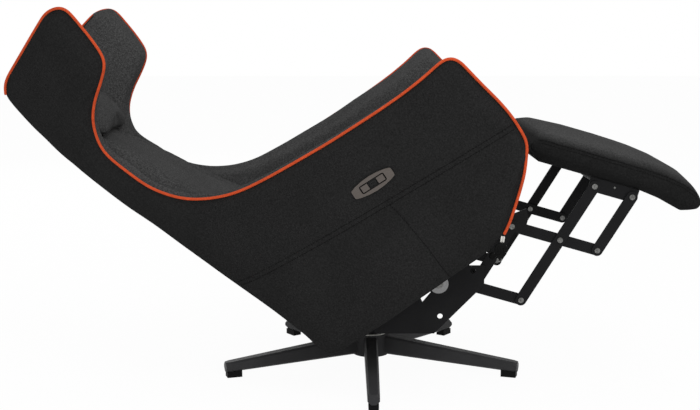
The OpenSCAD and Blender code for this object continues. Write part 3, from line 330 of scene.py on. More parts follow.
def piping_fabric(name, base):
    """Twill tape round a cord: ribs that wind along the tube, with painted shade in their hollows and painted
    light on their crests.
    """
    finish = Finish(name, 0.8, specular=0.15)
    along = finish.math("MULTIPLY", finish.attribute("run"), 2 * math.pi / TWILL_PITCH)
    around = finish.math("MULTIPLY", finish.attribute("turn"), 2 * math.pi)
    wave = finish.math("MULTIPLY_ADD", finish.math("SINE", finish.math("ADD", along, around)), 0.5)
    # Painted shade in the rib hollows and painted light on the rib crests.
    lit = finish.ramp(wave, ((0.1, shade(base, 0.78)), (0.8, shade(base, 1.1))))
    worn = finish.ramp(finish.noise(60, detail=2), ((0.3, grey(0.88)), (0.7, grey(1.06))))
    finish.coloured(finish.mixed(1.0, lit, worn, "MULTIPLY"))
    finish.bumped([(wave, 0.0006, 0.6), (finish.noise(900, detail=2), 0.0003, 0.3)])


def powder_coat(name, base, roughness, grain=1500):
    finish = Finish(name, roughness, specular=0.07)
    cloudy(finish, base, 14, 3, 0.88, 1.12)
    finish.rough(finish.noise(40, detail=3), roughness - 0.08, roughness + 0.10)
    finish.bumped([(finish.noise(grain, detail=2), 0.0003, 0.30)])


def metal(name, base, roughness, stretch, turn=(0, 0, 0), scratch=0.25, contrast=0.2):
    """Bare or plated metal whose fine lines run along the axis that stretch leaves long. The lines darken and
    lighten its colour by contrast: a brushed tone, and where contrast is high, as on the bright zinc, painted
    reflection.
    """
    finish = Finish(name, roughness, metallic=1.0)
    lines_and_reflections = finish.noise(1.0, detail=4, roughness=0.7, vector=finish.stretched(stretch, turn))
    # Colour from the lines: the metal's brushed tone, and at high contrast painted reflections.
    finish.coloured(finish.ramp(lines_and_reflections, ((0.35, shade(base, 1 - contrast)), (0.65, shade(base, 1.08)))))
    finish.rough(lines_and_reflections, roughness - 0.08, roughness + 0.12)
    finish.bumped([(lines_and_reflections, 0.0002, scratch)])


def plastic(name, base, roughness, grain, depth, specular=0.3):
    finish = Finish(name, roughness, specular=specular)
    cloudy(finish, base, 30, 2, 0.9, 1.1)
    finish.rough(finish.noise(70, detail=2), roughness - 0.05, roughness + 0.08)
    finish.bumped([(finish.noise(grain, detail=2), 0.0003, depth)])


def plywood(name):
    pale, brown = srgb(205, 172, 126), srgb(172, 134, 88)
    finish = Finish(name, 0.65, specular=0.3)
    rings = finish.noise(1.0, detail=4, roughness=0.6, vector=finish.stretched((30, 6, 90)))
    finish.coloured(finish.ramp(rings, ((0.3, brown), (0.65, pale))))
    finish.rough(rings, 0.55, 0.75)
    finish.bumped([(rings, 0.0005, 0.3)])


def webbing(name, base):
    finish = Finish(name, 0.8, sheen=0.1, specular=0.3)
    ribs = finish.add("ShaderNodeTexWave", Scale=160.0, Distortion=0.6)
    ribs.bands_direction = "Y"
    finish.tree.links.new(finish.place, ribs.inputs["Vector"])
    # Painted shade in the rib hollows and painted light on the rib crests.
    finish.coloured(finish.ramp(ribs.outputs["Fac"], ((0.2, shade(base, 0.7)), (0.8, shade(base, 1.15)))))
    finish.bumped([(ribs.outputs["Fac"], 0.0006, 0.6), (finish.noise(800, detail=2), 0.0004, 0.4)])


def make_finishes():
    """Makes every finish of the recliner."""
    paint = settings().paint
    fabric("outer_fabric", paint.outer, OUTER_CONTRAST, OUTER_SHEEN)
    fabric("inner_fabric", paint.inner, INNER_CONTRAST, INNER_SHEEN)
    pad_fabric("pad_fabric", paint.inner, paint.pad_side)
    piping_fabric("piping_fabric", paint.piping)
    # The thread is darker than the fabric: partly its own black, partly painted shade of the seam hollows, which
    # the meshes are too coarse to sink.
    plastic("thread", srgb(19, 19, 19), 0.8, 2500, 0.5, specular=0.05)
    powder_coat("steel_black", paint.steel, 0.50)
    powder_coat("leg_paint", paint.legs, 0.42)
    # Its high contrast paints light and dark reflection sectors and slot-like highlights into the colour of the
    # rivet heads and other bright parts.
    metal("steel_bright", paint.zinc, 0.34, (260, 90, 260), scratch=0.6, contrast=0.6)
    metal("zinc_ring", paint.ring, 0.42, (420, 420, 420), scratch=0.30)
    metal("switch_metal", paint.nickel, 0.38, (40, 900, 1800), (0, -LEAN, 0))
    plastic("switch_black", srgb(14, 14, 14), 0.22, 900, 0.05)
    plastic("glide_plastic", srgb(17, 17, 17), 0.6, 1400, 0.35, specular=0.06)
    plastic("buckle_plastic", srgb(12, 12, 12), 0.4, 900, 0.1, specular=0.06)
    webbing("pale_strap", srgb(205, 203, 198))
    plastic("motor_plastic", srgb(26, 26, 27), 0.55, 1100, 0.40)
    plastic("washer_plastic", srgb(200, 200, 194), 0.5, 900, 0.15)
    plywood("board_wood")
    webbing("webbing", srgb(70, 64, 58))
    plastic("pad_board", srgb(24, 24, 24), 0.9, 700, 0.6)


def finish_named(name):
    return bpy.data.materials[LOOK + name]


# Places in the seat shell's frame

def from_shell(points):
    """Points of the upright seat shell, with the tilt axis as origin, in the frame of the leaned chair."""
    points = np.asarray(points, float)
    cos, sin = math.cos(LEAN), math.sin(LEAN)
    x, y, z = points[..., 0], points[..., 1], points[..., 2]
    return np.stack([TILT.x + x * cos - z * sin, y, TILT.z + x * sin + z * cos], axis=-1)


def to_shell(points):
    points = np.asarray(points, float)
    cos, sin = math.cos(LEAN), math.sin(LEAN)
    x, y, z = points[..., 0] - TILT.x, points[..., 1], points[..., 2] - TILT.z
    return np.stack([x * cos + z * sin, y, z * cos - x * sin], axis=-1)


def to_pad(points):
    """Run along the leg rest's two pivots from the first, and height over their line, of points."""
    points = np.asarray(points, float)
    cos, sin = math.cos(PAD_TURN), math.sin(PAD_TURN)
    x, z = points[..., 0] - PAD_PIVOT.x, points[..., 2] - PAD_PIVOT.z
    return x * cos - z * sin, x * sin + z * cos


def from_pad(run, y, height):
    cos, sin = math.cos(PAD_TURN), math.sin(PAD_TURN)
    return (PAD_PIVOT.x + run * cos + height * sin, y, PAD_PIVOT.z - run * sin + height * cos)


# Meshes

WELD = 1e-5


@contextmanager
def edited(mesh):
    """Opens a mesh for editing, and writes it back at the end."""
    work = bmesh.new()
    work.from_mesh(mesh)
    yield work
    work.to_mesh(mesh)
    work.free()


def linked(name, data):
    made = bpy.data.objects.new(name, data)
    bpy.context.scene.collection.objects.link(made)
    return made


def new_object(name, verts, faces, finish=None):
    mesh = bpy.data.meshes.new(name)
    mesh.from_pydata([tuple(v) for v in verts], [], faces)
    mesh.update()
    made = linked(name, mesh)
    if finish:
        mesh.materials.append(finish_named(finish))
    return made


def smooth(made):
    made.data.polygons.foreach_set("use_smooth", [True] * len(made.data.polygons))
    made.data.update()


def triples(source, key):
    """Values of a mesh's points, three for each."""
    flat = np.zeros(len(source) * 3, np.float32)
    source.foreach_get(key, flat)
    return flat.reshape(-1, 3).astype(float)


def coords(made):
    return triples(made.data.vertices, "co")


def set_coords(made, points):
    made.data.vertices.foreach_set("co", np.asarray(points, np.float32).ravel())
    made.data.update()


def vertex_normals(made):
    return triples(made.data.vertex_normals, "vector")


def bake(made):
    """Applies the modifiers of an object to its mesh."""
    graph = bpy.context.evaluated_depsgraph_get()
    old = made.data
    made.data = bpy.data.meshes.new_from_object(made.evaluated_get(graph))
    made.modifiers.clear()
    bpy.data.meshes.remove(old)


def subdivided(made, levels):
    modifier = made.modifiers.new("rounding", "SUBSURF")
    modifier.levels = modifier.render_levels = levels
    bake(made)


def loft_faces(ring_count, ring_size):
    return [(j * ring_size + i, j * ring_size + (i + 1) % ring_size,
             (j + 1) * ring_size + (i + 1) % ring_size, (j + 1) * ring_size + i)
            for j in range(ring_count - 1) for i in range(ring_size)]


def turned_out(made):
    """Makes a closed mesh's faces look outwards."""
    with edited(made.data) as work:
        bmesh.ops.recalc_face_normals(work, faces=work.faces)
    made.data.update()


def copy_of(node, name):
    """A new object on a welded copy of a CAD node's mesh."""
    mesh = frame["nodes"][node].data.copy()
    mesh.name = name
    mesh.materials.clear()
    made = linked(name, mesh)
    with edited(mesh) as work:
        bmesh.ops.remove_doubles(work, verts=work.verts, dist=WELD)
        bmesh.ops.recalc_face_normals(work, faces=work.faces)
    return made


def tube(name, path, radius, sides, finish, flatten=1.0, normals=None):
    """A closed tube along a path, which carries its run in metres and its turn as shares for the material."""
    path = [Vector(p) for p in path]
    verts, run, turn, lengths = [], [], [], [0.0]
    for a, b in zip(path, path[1:]):
        lengths.append(lengths[-1] + (b - a).length)
    up = Vector((0, 1, 0))
    for i, point in enumerate(path):
        along = (path[min(i + 1, len(path) - 1)] - path[max(i - 1, 0)]).normalized()
        up = Vector(normals[i]) if normals is not None else up
        up = (up - along * up.dot(along)).normalized()
        across = along.cross(up)
        for k in range(sides):
            angle = 2 * math.pi * k / sides
            verts.append(point + radius * (math.cos(angle) * across + flatten * math.sin(angle) * up))
            run.append(lengths[i])
            turn.append(k / sides)
    faces = loft_faces(len(path), sides)
    faces.append(tuple(range(sides))[::-1])
    faces.append(tuple(range((len(path) - 1) * sides, len(path) * sides)))
    made = new_object(name, verts, faces, finish)
    for key, values in (("run", run), ("turn", turn)):
        made.data.attributes.new(key, "FLOAT", "POINT").data.foreach_set("value", values)
    turned_out(made)
    smooth(made)
    return made


def resampled(path, step):
    """The same line with points at an even step, in metres."""
    path = np.asarray(path, float)
    lengths = np.concatenate([[0], np.cumsum(np.linalg.norm(np.diff(path, axis=0), axis=1))])
    count = max(2, int(round(lengths[-1] / step)) + 1)
    places = np.linspace(0, lengths[-1], count)
    return np.stack([np.interp(places, lengths, path[:, k]) for k in range(3)], axis=-1)


def laid_on(made, path, lift):
    """Moves a path's points to the nearest place on a mesh, and lift above it. Gives points and normals."""
    faces = [tuple(p.vertices) for p in made.data.polygons]
    tree = BVHTree.FromPolygons([v.co for v in made.data.vertices], faces)
    points, normals = [], []
    for p in path:
        place, normal, _, _ = tree.find_nearest(Vector(p))
        points.append(place + normal * lift)
        normals.append(normal)
    return points, normals


def press_in(made, path, depth, half_width):
    """Sinks a soft groove into a mesh along a path, as a sewn seam does."""
    tree = KDTree(len(path))
    for i, p in enumerate(path):
        tree.insert(Vector(p), i)
    tree.balance()
    points, normals = coords(made), vertex_normals(made)
    for i, p in enumerate(points):
        distance = tree.find(Vector(p))[2]
        if distance < 3 * half_width:
            points[i] -= normals[i] * depth * math.exp(-(distance / half_width) ** 2)
    set_coords(made, points)


def softened(made, amount, scale, seed):
    """Gives an upholstered face the slight waves that padding has."""
    points, normals = coords(made), vertex_normals(made)
    shift = Vector((seed, seed * 0.7, -seed))
    for i, p in enumerate(points):
        points[i] += normals[i] * amount * noise.noise(Vector(p) * scale + shift)
    set_coords(made, points)


SEAM_STEP = 0.003
LINE_STEP = 0.004
THREAD_LIFT = 0.3
STITCH_SIDES = 6
STITCH_ARCH = 0.25
STITCH_ENDS = ((0.0, 0.35), (0.12, 0.9), (0.5, 1.0), (0.88, 0.9), (1.0, 0.35))


def stitches(name, points, normals):
    """A row of separate stitches along a line that already lies on the fabric."""
    soft = settings().soft
    lengths = np.concatenate([[0], np.cumsum([(b - a).length for a, b in zip(points, points[1:])])])
    xyz, up = np.array([list(p) for p in points]), np.array([list(n) for n in normals])
    verts, faces = [], []

    def between(rows, place):
        return Vector([np.interp(place, lengths, rows[:, k]) for k in range(3)])

    for start in np.arange(0, lengths[-1] - soft.stitch, soft.stitch_pitch):
        ends = [between(xyz, start + soft.stitch * f) for f in (0, 1)]
        normal = between(up, start).normalized()
        along = ends[1] - ends[0]
        across = along.normalized().cross(normal)
        base = len(verts)
        for f, width in STITCH_ENDS:
            middle = ends[0] + along * f + normal * soft.thread * STITCH_ARCH * math.sin(math.pi * f)
            for k in range(STITCH_SIDES):
                angle = 2 * math.pi * k / STITCH_SIDES
                aside = math.cos(angle) * across + math.sin(angle) * normal
                verts.append(middle + soft.thread / 2 * width * aside)
        faces += [tuple(base + i for i in face) for face in loft_faces(len(STITCH_ENDS), STITCH_SIDES)]
        faces.append(tuple(base + i for i in range(STITCH_SIDES))[::-1])
        faces.append(tuple(base + (len(STITCH_ENDS) - 1) * STITCH_SIDES + i for i in range(STITCH_SIDES)))
    made = new_object(name, verts, faces, "thread")
    turned_out(made)
    smooth(made)
    return made


def sewn(name, made, path, body, rows):
    """Sews a seam into a soft piece: a groove, and a row of stitches on each side that rows gives."""
    soft = settings().soft
    path = resampled(path, SEAM_STEP)
    on, normals = laid_on(made, path, 0)
    press_in(made, on, soft.groove, soft.groove_width)
    for row, shift in enumerate(rows):
        sideways = []
        for i, p in enumerate(on):
            along = on[min(i + 1, len(on) - 1)] - on[max(i - 1, 0)]
            sideways.append(p + along.cross(normals[i]).normalized() * shift)
        places, up = laid_on(made, sideways, soft.thread * THREAD_LIFT)
        thread = stitches(f"{name}_stitches_{row + 1}", places, up)
        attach(thread, body)


# Side panels

PANEL_SHARES = (
    ((0.232, 0.988), (0.034, 0.933)), ((0.258, 0.982), (0.011, 0.919)),
    ((0.279, 0.968), (0.000, 0.902)), ((0.286, 0.920), (-0.001, 0.880)),
    ((0.289, 0.872), (0.003, 0.845)), ((0.284, 0.828), (0.010, 0.806)), ((0.247, 0.798), (0.019, 0.772)),
    ((0.203, 0.772), (0.026, 0.742)), ((0.166, 0.739), (0.034, 0.714)), ((0.145, 0.697), (0.045, 0.683)),
    ((0.142, 0.660), (0.055, 0.652)), ((0.160, 0.607), (0.073, 0.603)), ((0.190, 0.543), (0.101, 0.536)),
    ((0.240, 0.488), (0.133, 0.470)), ((0.297, 0.454), (0.163, 0.402)), ((0.366, 0.431), (0.196, 0.330)),
    ((0.446, 0.421), (0.232, 0.245)), ((0.531, 0.416), (0.270, 0.158)), ((0.617, 0.412), (0.301, 0.075)),
    ((0.697, 0.411), (0.314, 0.026)), ((0.766, 0.411), (0.346, 0.002)), ((0.829, 0.413), (0.470, 0.005)),
    ((0.886, 0.418), (0.570, 0.012)), ((0.920, 0.423), (0.650, 0.017)), ((0.939, 0.425), (0.690, 0.020)),
    ((0.9525, 0.423), (0.722, 0.022)), ((0.963, 0.4155), (0.751, 0.0235)), ((0.969, 0.404), (0.778, 0.026)),
    ((0.975, 0.374), (0.808, 0.031)), ((0.983, 0.334), (0.837, 0.041)), ((0.992, 0.294), (0.866, 0.059)),
    ((0.998, 0.252), (0.894, 0.081)), ((0.998, 0.210), (0.926, 0.107)), ((0.994, 0.178), (0.958, 0.136)))
BOW_END = 0.87
BOW_POWER = 5
FACE_PARTS, EDGE_PARTS, BAND_PARTS, ARC_PARTS = 26, 4, 10, 4
CAP_PARTS = 5
TOP_DROP = 0.012
TOP_FADE = (2, 6)
STATION_STEP = 1 / 6
BAND_RISE = (6, 11)
BAND_FADE = (19, 24)
DROP_RISE = (13, 18)
CROWN_LEAST = 0.1
ARM_CROWN = 0.62
CREST_SKEW = 0.8
CREST_POWER = 2.2
ARM_RISE = (11, 14)
PIPING_ENDS = (2, 28.8)
SLOPE_STEP = 0.05


def spline(keys, s):
    """Point at place s of the smooth line through keys, which is at keys[i] where s is i."""
    i = min(int(s), len(keys) - 2)
    a, b, c, d = (keys[min(max(k, 0), len(keys) - 1)] for k in (i - 1, i, i + 1, i + 2))
    t = s - i
    return (2 * b + (c - a) * t + (2 * a - 5 * b + 4 * c - d) * t ** 2 + (3 * b - a - 3 * c + d) * t ** 3) / 2


def ramp(s, low, high):
    return max(0.0, min(1.0, (s - low) / (high - low)))


class Outline:
    """The side view and the plan of a side panel, in the upright seat shell's frame."""

    def __init__(self):
        size = self.size = settings().panel
        corner, reach = np.array([size.rear, size.low]), np.array([size.depth, size.height])
        self.upper, self.lower = ([corner + np.array(key[k]) * reach for key in PANEL_SHARES] for k in (0, 1))
        self.last = len(PANEL_SHARES) - 1
        self.stations = [i * STATION_STEP for i in range(int(self.last / STATION_STEP) + 1)]

    def share(self, x):
        return (self.size.taper_front - x) / self.size.taper_length

    def outside(self, x):
        """Half width to the outer face at x."""
        s = self.share(x)
        slope = BOW_POWER * BOW_END ** (BOW_POWER - 1)
        bow = np.minimum(s, BOW_END) ** BOW_POWER + slope * np.maximum(0, s - BOW_END)
        return self.size.arm_half_width - self.size.taper * s - self.size.wing_bow * bow

    def inside(self, x):
        """Half width to the inner face at x."""
        return self.outside(x) - self.size.thickness + self.size.thickness_loss * self.share(x)

    def inward(self, keys, others, s):
        along = spline(keys, min(s + SLOPE_STEP, self.last)) - spline(keys, max(s - SLOPE_STEP, 0))
        normal = np.array([-along[1], along[0]]) / np.linalg.norm(along)
        return normal if normal @ (spline(others, s) - spline(keys, s)) > 0 else -normal

    def crown(self, s):
        arm = 1 - (1 - ARM_CROWN) * ramp(s, *ARM_RISE)
        return self.size.crown * max(CROWN_LEAST, ramp(s, *BAND_RISE) * arm * (1 - ramp(s, *BAND_FADE)))

    def from_top(self, p):
        """Distance of a point from the straight top of the wing."""
        along = self.lower[0] - self.upper[0]
        step = p - self.upper[0]
        return abs(along[0] * step[1] - along[1] * step[0]) / np.linalg.norm(along)

    def edge_fall(self, distance):
        """How far the padded outer face falls back at this distance from its edge."""
        return self.size.edge_fall * max(0.0, 1 - distance / self.size.edge_reach) ** 2


def arc(start, end):
    """Angles of a quarter round between its ends, from start to end in quarter turns."""
    return [math.pi / 2 * (start + (end - start) * k / ARC_PARTS) for k in range(1, ARC_PARTS)]


def panel_ring(outline, s):
    """One closed ring round a panel at station s, with y to the outside."""
    size = outline.size
    u, l = spline(outline.upper, s), spline(outline.lower, s)
    nu, nl = outline.inward(outline.upper, outline.lower, s), outline.inward(outline.lower, outline.upper, s)
    down = (l - u) / np.linalg.norm(l - u)
    drop = TOP_DROP * (1 - ramp(s, *TOP_FADE))
    low_u, low_l = u + nu * drop + down * size.inner_drop * ramp(s, *DROP_RISE), l + nl * drop
    ro, ri = size.outer_round, size.inner_round
    ring = []

    def outer(p, fall):
        fall = max(fall, outline.edge_fall(outline.from_top(p)))
        ring.append((p[0], outline.outside(p[0]) - fall, p[1]))

    def inner(p, fall=0.0):
        ring.append((p[0], outline.inside(p[0]) + fall, p[1]))

    start, end = u + nu * ro, l + nl * ro
    reach = np.linalg.norm(end - start)
    edge = outline.edge_fall(0)
    for f in (1 - np.cos(np.linspace(0, math.pi, FACE_PARTS + 1))) / 2:
        outer(start + (end - start) * f, outline.edge_fall(reach * min(f, 1 - f)))
    for a in arc(0, 1):
        outer(l + nl * ro * (1 - math.sin(a)), edge + ro * (1 - math.cos(a)))
    first, last = outline.outside(l[0]) - edge - ro, outline.inside(low_l[0]) + ri
    for f in np.linspace(0, 1, EDGE_PARTS + 1):
        p = l + (low_l - l) * f
        ring.append((p[0], first + (last - first) * f, p[1]))
    for a in arc(1, 0):
        inner(low_l + nl * ri * (1 - math.sin(a)), ri * (1 - math.cos(a)))
    for f in np.linspace(0, 1, FACE_PARTS // 2 + 1):
        inner(low_l + nl * ri + (low_u + down * ri - low_l - nl * ri) * f)
    for a in arc(0, 1):
        inner(low_u + down * ri * (1 - math.sin(a)), ri * (1 - math.cos(a)))
    first, last = outline.inside(low_u[0]) + ri, outline.outside(u[0]) - edge - ro
    skew = 1 + CREST_SKEW * ramp(s, *ARM_RISE)
    for f in np.linspace(0, 1, BAND_PARTS + 1):
        p = low_u + (u - low_u) * f - nu * outline.crown(s) * (1 - abs(2 * f ** skew - 1) ** CREST_POWER)
        ring.append((p[0], first + (last - first) * f, p[1]))
    for a in arc(1, 0):
        outer(u + nu * ro * (1 - math.sin(a)), edge + ro * (1 - math.cos(a)))
    return np.array(ring)


def capped(outline, ring, first, last, drop=0.0):
    """Rings that round a panel's end over to the straight line between two corners, drop lower inside."""
    along = (last - first) / np.linalg.norm(last - first)
    normal = np.array([-along[1], along[0]])
    beyond = (ring[:, [0, 2]] - first) @ normal
    side = 1 if beyond.mean() > 0 else -1
    inside = outline.inside(ring[:, 0])
    share = (ring[:, 1] - inside) / (outline.outside(ring[:, 0]) - inside)
    inset = share * outline.size.outer_round - (1 - share) * outline.size.inner_round
    made = []
    for angle in np.linspace(0, math.pi / 2, CAP_PARTS + 1)[1:]:
        rolled = ring.copy()
        rolled[:, [0, 2]] -= np.outer((beyond - side * drop * (1 - share)) * math.sin(angle), normal)
        rolled[:, 1] -= inset * (1 - math.cos(angle))
        made.append(rolled)
    return made


def panel_mesh(outline, name, sign):
    rings = [panel_ring(outline, s) for s in outline.stations]
    top_cap = capped(outline, rings[0], outline.upper[0], outline.lower[0], TOP_DROP)[::-1]
    front_cap = capped(outline, rings[-1], outline.upper[-1], outline.lower[-1])
    rings = top_cap + rings + front_cap
    size = len(rings[0])
    verts = from_shell(np.concatenate(rings) * np.array([1, sign, 1]))
    made = new_object(name, verts, loft_faces(len(rings), size), "outer_fabric")
    made.data.materials.append(finish_named("inner_fabric"))
    outer_part = FACE_PARTS + EDGE_PARTS + 2 * ARC_PARTS
    inner_part = FACE_PARTS // 2 + ARC_PARTS + BAND_PARTS
    lined = [outer_part <= face.index % size < outer_part + inner_part for face in made.data.polygons]
    made.data.polygons.foreach_set("material_index", [int(v) for v in lined])
    with edited(made.data) as work:
        bmesh.ops.remove_doubles(work, verts=work.verts, dist=WELD)
        open_edges = [edge for edge in work.edges if edge.is_boundary]
        bmesh.ops.triangle_fill(work, use_beauty=True, edges=open_edges)
        bmesh.ops.recalc_face_normals(work, faces=work.faces)
    return made


PANEL_SEAMS = {
    "side_seam": ((-0.356, 0.240), (-0.262, 0.234), (-0.100, 0.228), (0.042, 0.224), (0.180, 0.221),
                  (0.312, 0.219)),
    "corner_seam": ((0.018, 0.221), (0.026, 0.173), (0.033, 0.101), (0.036, 0.012)),
}
SEAM_ROWS = {"side_seam": (-0.005, 0.005), "corner_seam": (0.003,)}
WAVE_DEPTH, WAVE_SCALE, WAVE_SEED = 0.0011, 9, 3
POCKET_ROOM, POCKET_OUT = 1.012, 0.02


def cut_pocket(made):
    """Opens the panel where the control panel's housing sits."""
    cutter = copy_of("switch_housing", "pocket_cutter")
    with edited(cutter.data) as work:
        hull = bmesh.ops.convex_hull(work, input=work.verts)
        bmesh.ops.delete(work, geom=hull["geom_interior"] + hull["geom_unused"], context="VERTS")
    points = coords(cutter)
    outwards = -np.array(JOINTS["recline_press"]["axis"])
    middle = points.mean(axis=0)
    height = (points - middle) @ outwards
    grown = middle + (points - middle) * POCKET_ROOM
    grown += np.outer(np.where(height > 0, POCKET_OUT, 0.0), outwards)
    set_coords(cutter, grown)
    modifier = made.modifiers.new("pocket", "BOOLEAN")
    modifier.operation = "DIFFERENCE"
    modifier.solver = "FAST"
    modifier.object = cutter
    bake(made)
    bpy.data.objects.remove(cutter)


class RECLINER_OT_panels(bpy.types.Operator):
    """Upholster both side panels, with their seams and the pocket of the control panel"""
    bl_idname = "recliner.panels"
    bl_label = "Side Panels"

    def execute(self, context):
        outline = Outline()
        for side, sign in SIDES.items():
            made = panel_mesh(outline, f"{side}_side_cover", sign)
            softened(made, WAVE_DEPTH, WAVE_SCALE, WAVE_SEED + sign)
            for seam, line in PANEL_SEAMS.items():
                path = from_shell([(x, sign * outline.outside(x), z) for x, z in line])
                sewn(f"{side}_{seam}", made, path, "shell", SEAM_ROWS[seam])
            smooth(made)
            if side == "right":
                cut_pocket(made)
                made.data.set_sharp_from_angle(angle=SHARP_ANGLE)
            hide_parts(f"{side}_side_panel")
            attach(made, "shell")
        return {"FINISHED"}


TOP_SHARES = (1.0, 0.9, 0.8, 0.67, 0.55, 0.42, 0.3, 0.2, 0.12, 0.05)
PIPING_LIFT = 0.00013
PIPING_SIDES = 14
PIPING_STEP, PIPING_EASE = 0.004, 4
CORNER_SHARE = 0.1


def piping_path(outline):
    """Round the wing's rear corner, its top, a panel's upper edge and its front, with y to the outside."""
    def out_of(normal, p):
        out = outline.outside(p[0]) - outline.edge_fall(0) + PIPING_LIFT
        return (p[0] - normal[0] * PIPING_LIFT, out, p[1] - normal[1] * PIPING_LIFT)

    def lower_part(first, last, step):
        return [out_of(outline.inward(outline.lower, outline.upper, s), spline(outline.lower, s))
                for s in np.arange(first, last, step)]

    first, last = outline.upper[0], outline.lower[0]
    along = (last - first) / np.linalg.norm(last - first)
    path = lower_part(PIPING_ENDS[0], CORNER_SHARE, -STATION_STEP)
    path += [out_of((-along[1], along[0]), first + (last - first) * f) for f in TOP_SHARES]
    path += [out_of(outline.inward(outline.upper, outline.lower, s), spline(outline.upper, s))
             for s in outline.stations if CORNER_SHARE < s < outline.last - CORNER_SHARE]
    return np.array(path + lower_part(outline.last - CORNER_SHARE, PIPING_ENDS[1], -STATION_STEP))


class RECLINER_OT_piping(bpy.types.Operator):
    """Sew the piping along the edges of both side panels"""
    bl_idname = "recliner.piping"
    bl_label = "Piping"

    def execute(self, context):
        outline = Outline()
        for side, sign in SIDES.items():
            path = resampled(from_shell(piping_path(outline) * np.array([1, sign, 1])), PIPING_STEP)
            padded = np.pad(path, ((PIPING_EASE, PIPING_EASE), (0, 0)), mode="edge")
            path = np.mean([padded[i:i + len(path)] for i in range(2 * PIPING_EASE + 1)], axis=0)
            made = tube(f"{side}_piping_cord", path, outline.size.piping / 2, PIPING_SIDES, "piping_fabric")
            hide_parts(f"{side}_piping")
            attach(made, "shell")
        return {"FINISHED"}


# Cushions

GRID_EASE, GRID_EASE_STEPS = 0.5, 4
CLOTH = {"quality": 4, "mass": 0.3, "tension_stiffness": 12, "compression_stiffness": 12,
         "shear_stiffness": 4, "bending_stiffness": 0.6, "use_pressure": True}
TOP_GAP = 0.004


def remeshed(made, voxel):
    modifier = made.modifiers.new("grid", "REMESH")
    modifier.mode = "VOXEL"
    modifier.voxel_size = voxel
    bake(made)
    smoother = made.modifiers.new("ease", "SMOOTH")
    smoother.factor = GRID_EASE
    smoother.iterations = GRID_EASE_STEPS
    bake(made)


def swollen(made, swell, voxel):
    """Fills a cover by a cloth simulation under pressure, and keeps how it settles within swell."""
    soft = settings().soft
    remeshed(made, voxel)
    before = coords(made)
    cloth = made.modifiers.new("cloth", "CLOTH")
    for setting, value in CLOTH.items():
        setattr(cloth.settings, setting, value)
    cloth.settings.uniform_pressure_force = soft.pressure
    cloth.settings.effector_weights.gravity = 0
    cloth.collision_settings.use_collision = False
    scene = bpy.context.scene
    for step in range(1, soft.frames + 1):
        scene.frame_set(step)
    graph = bpy.context.evaluated_depsgraph_get()
    settled = made.evaluated_get(graph).to_mesh()
    move = triples(settled.vertices, "co") - before
    made.modifiers.clear()
    scene.frame_set(1)
    far = np.linalg.norm(move, axis=1, keepdims=True)
    set_coords(made, before + move * np.minimum(1, swell / np.maximum(far, 1e-9)))


def between_walls(made, outline):
    """Keeps a cushion clear of the side panels and below the straight top of the wings."""
    points = to_shell(coords(made))
    room = outline.inside(points[:, 0]) - settings().soft.wall_gap
    points[:, 1] = np.clip(points[:, 1], -room, room)
    along = outline.upper[0] - outline.lower[0]
    normal = np.array([-along[1], along[0]]) / np.linalg.norm(along)
    above = (points[:, [0, 2]] - outline.lower[0]) @ normal + TOP_GAP
    points[:, [0, 2]] -= np.outer(np.maximum(0, above), normal)
    set_coords(made, from_shell(points))


def cushion(node, swell, body, walled=True):
    """The cover of a filled cushion, which takes the place of its plain solid."""
    made = copy_of(node, f"{node}_cover")
    made.data.materials.append(finish_named("inner_fabric"))
    swollen(made, swell, settings().soft.voxel)
    if walled:
        between_walls(made, Outline())
    subdivided(made, 1)
    smooth(made)
    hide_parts(node)
    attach(made, body)
    return made


class RECLINER_OT_seat(bpy.types.Operator):
    """Fill the seat cushion"""
    bl_idname = "recliner.seat"
    bl_label = "Seat Cushion"

    def execute(self, context):
        cushion("seat_cushion", settings().soft.seat_swell, "shell")
        return {"FINISHED"}


CHANNEL_ASIDE = 0.075
CHANNEL_REACH = (0.16, 0.10)
CHANNEL_DEPTH, CHANNEL_WIDTH = 0.0045, 0.012
SLICE = 0.009


def front_line(made, outline):
    """A line up the front of the back cushion, at an even distance from the left wall."""
    points = to_shell(coords(made))
    low, high = points[:, 2].min() + CHANNEL_REACH[0], points[:, 2].max() - CHANNEL_REACH[1]
    line = []
    for z in np.arange(low, high, SLICE):
        level = points[abs(points[:, 2] - z) < SLICE]
        walls = outline.inside(level[:, 0]) - CHANNEL_ASIDE
        near = level[abs(level[:, 1] - walls) < SLICE]
        if len(near):
            line.append(near[near[:, 0].argmax()])
    return np.array(line)


class RECLINER_OT_back(bpy.types.Operator):
    """Fill the back cushion, and draw its two channels in"""
    bl_idname = "recliner.back"
    bl_label = "Back Cushion"

    def execute(self, context):
        made = cushion("back_cushion", settings().soft.back_swell, "shell")
        line = front_line(made, Outline())
        for sign in SIDES.values():
            path = resampled(from_shell(line * np.array([1, sign, 1])), LINE_STEP)
            press_in(made, path, CHANNEL_DEPTH, CHANNEL_WIDTH)
        return {"FINISHED"}


WELT_BACK = 0.006
WELT_POINTS, WELT_SIDES = 120, 10
WELT_SQUARE = 4
WELT_GROOVE, WELT_HALF_WIDTH, WELT_LIFT, WELT_RADIUS = 0.0022, 0.006, -0.0004, 0.0015


def welt_line(points, up):
    """A rounded rectangle round the pillow, from its points and the direction in which it slides."""
    front = np.array([up[2], 0, -up[0]])
    height, depth = points @ up, points @ front
    middle = (height.max() + height.min()) / 2 * up + ((depth.max() + depth.min()) / 2 - WELT_BACK) * front
    half_h, half_w = (height.max() - height.min()) / 2, points[:, 1].max()
    line = []
    for angle in np.linspace(0, 2 * math.pi, WELT_POINTS):
        cos, sin = math.cos(angle), math.sin(angle)
        round_off = (abs(cos) ** WELT_SQUARE + abs(sin) ** WELT_SQUARE) ** (-1 / WELT_SQUARE)
        line.append(middle + up * half_h * sin * round_off + np.array([0, half_w * cos * round_off, 0]))
    return line


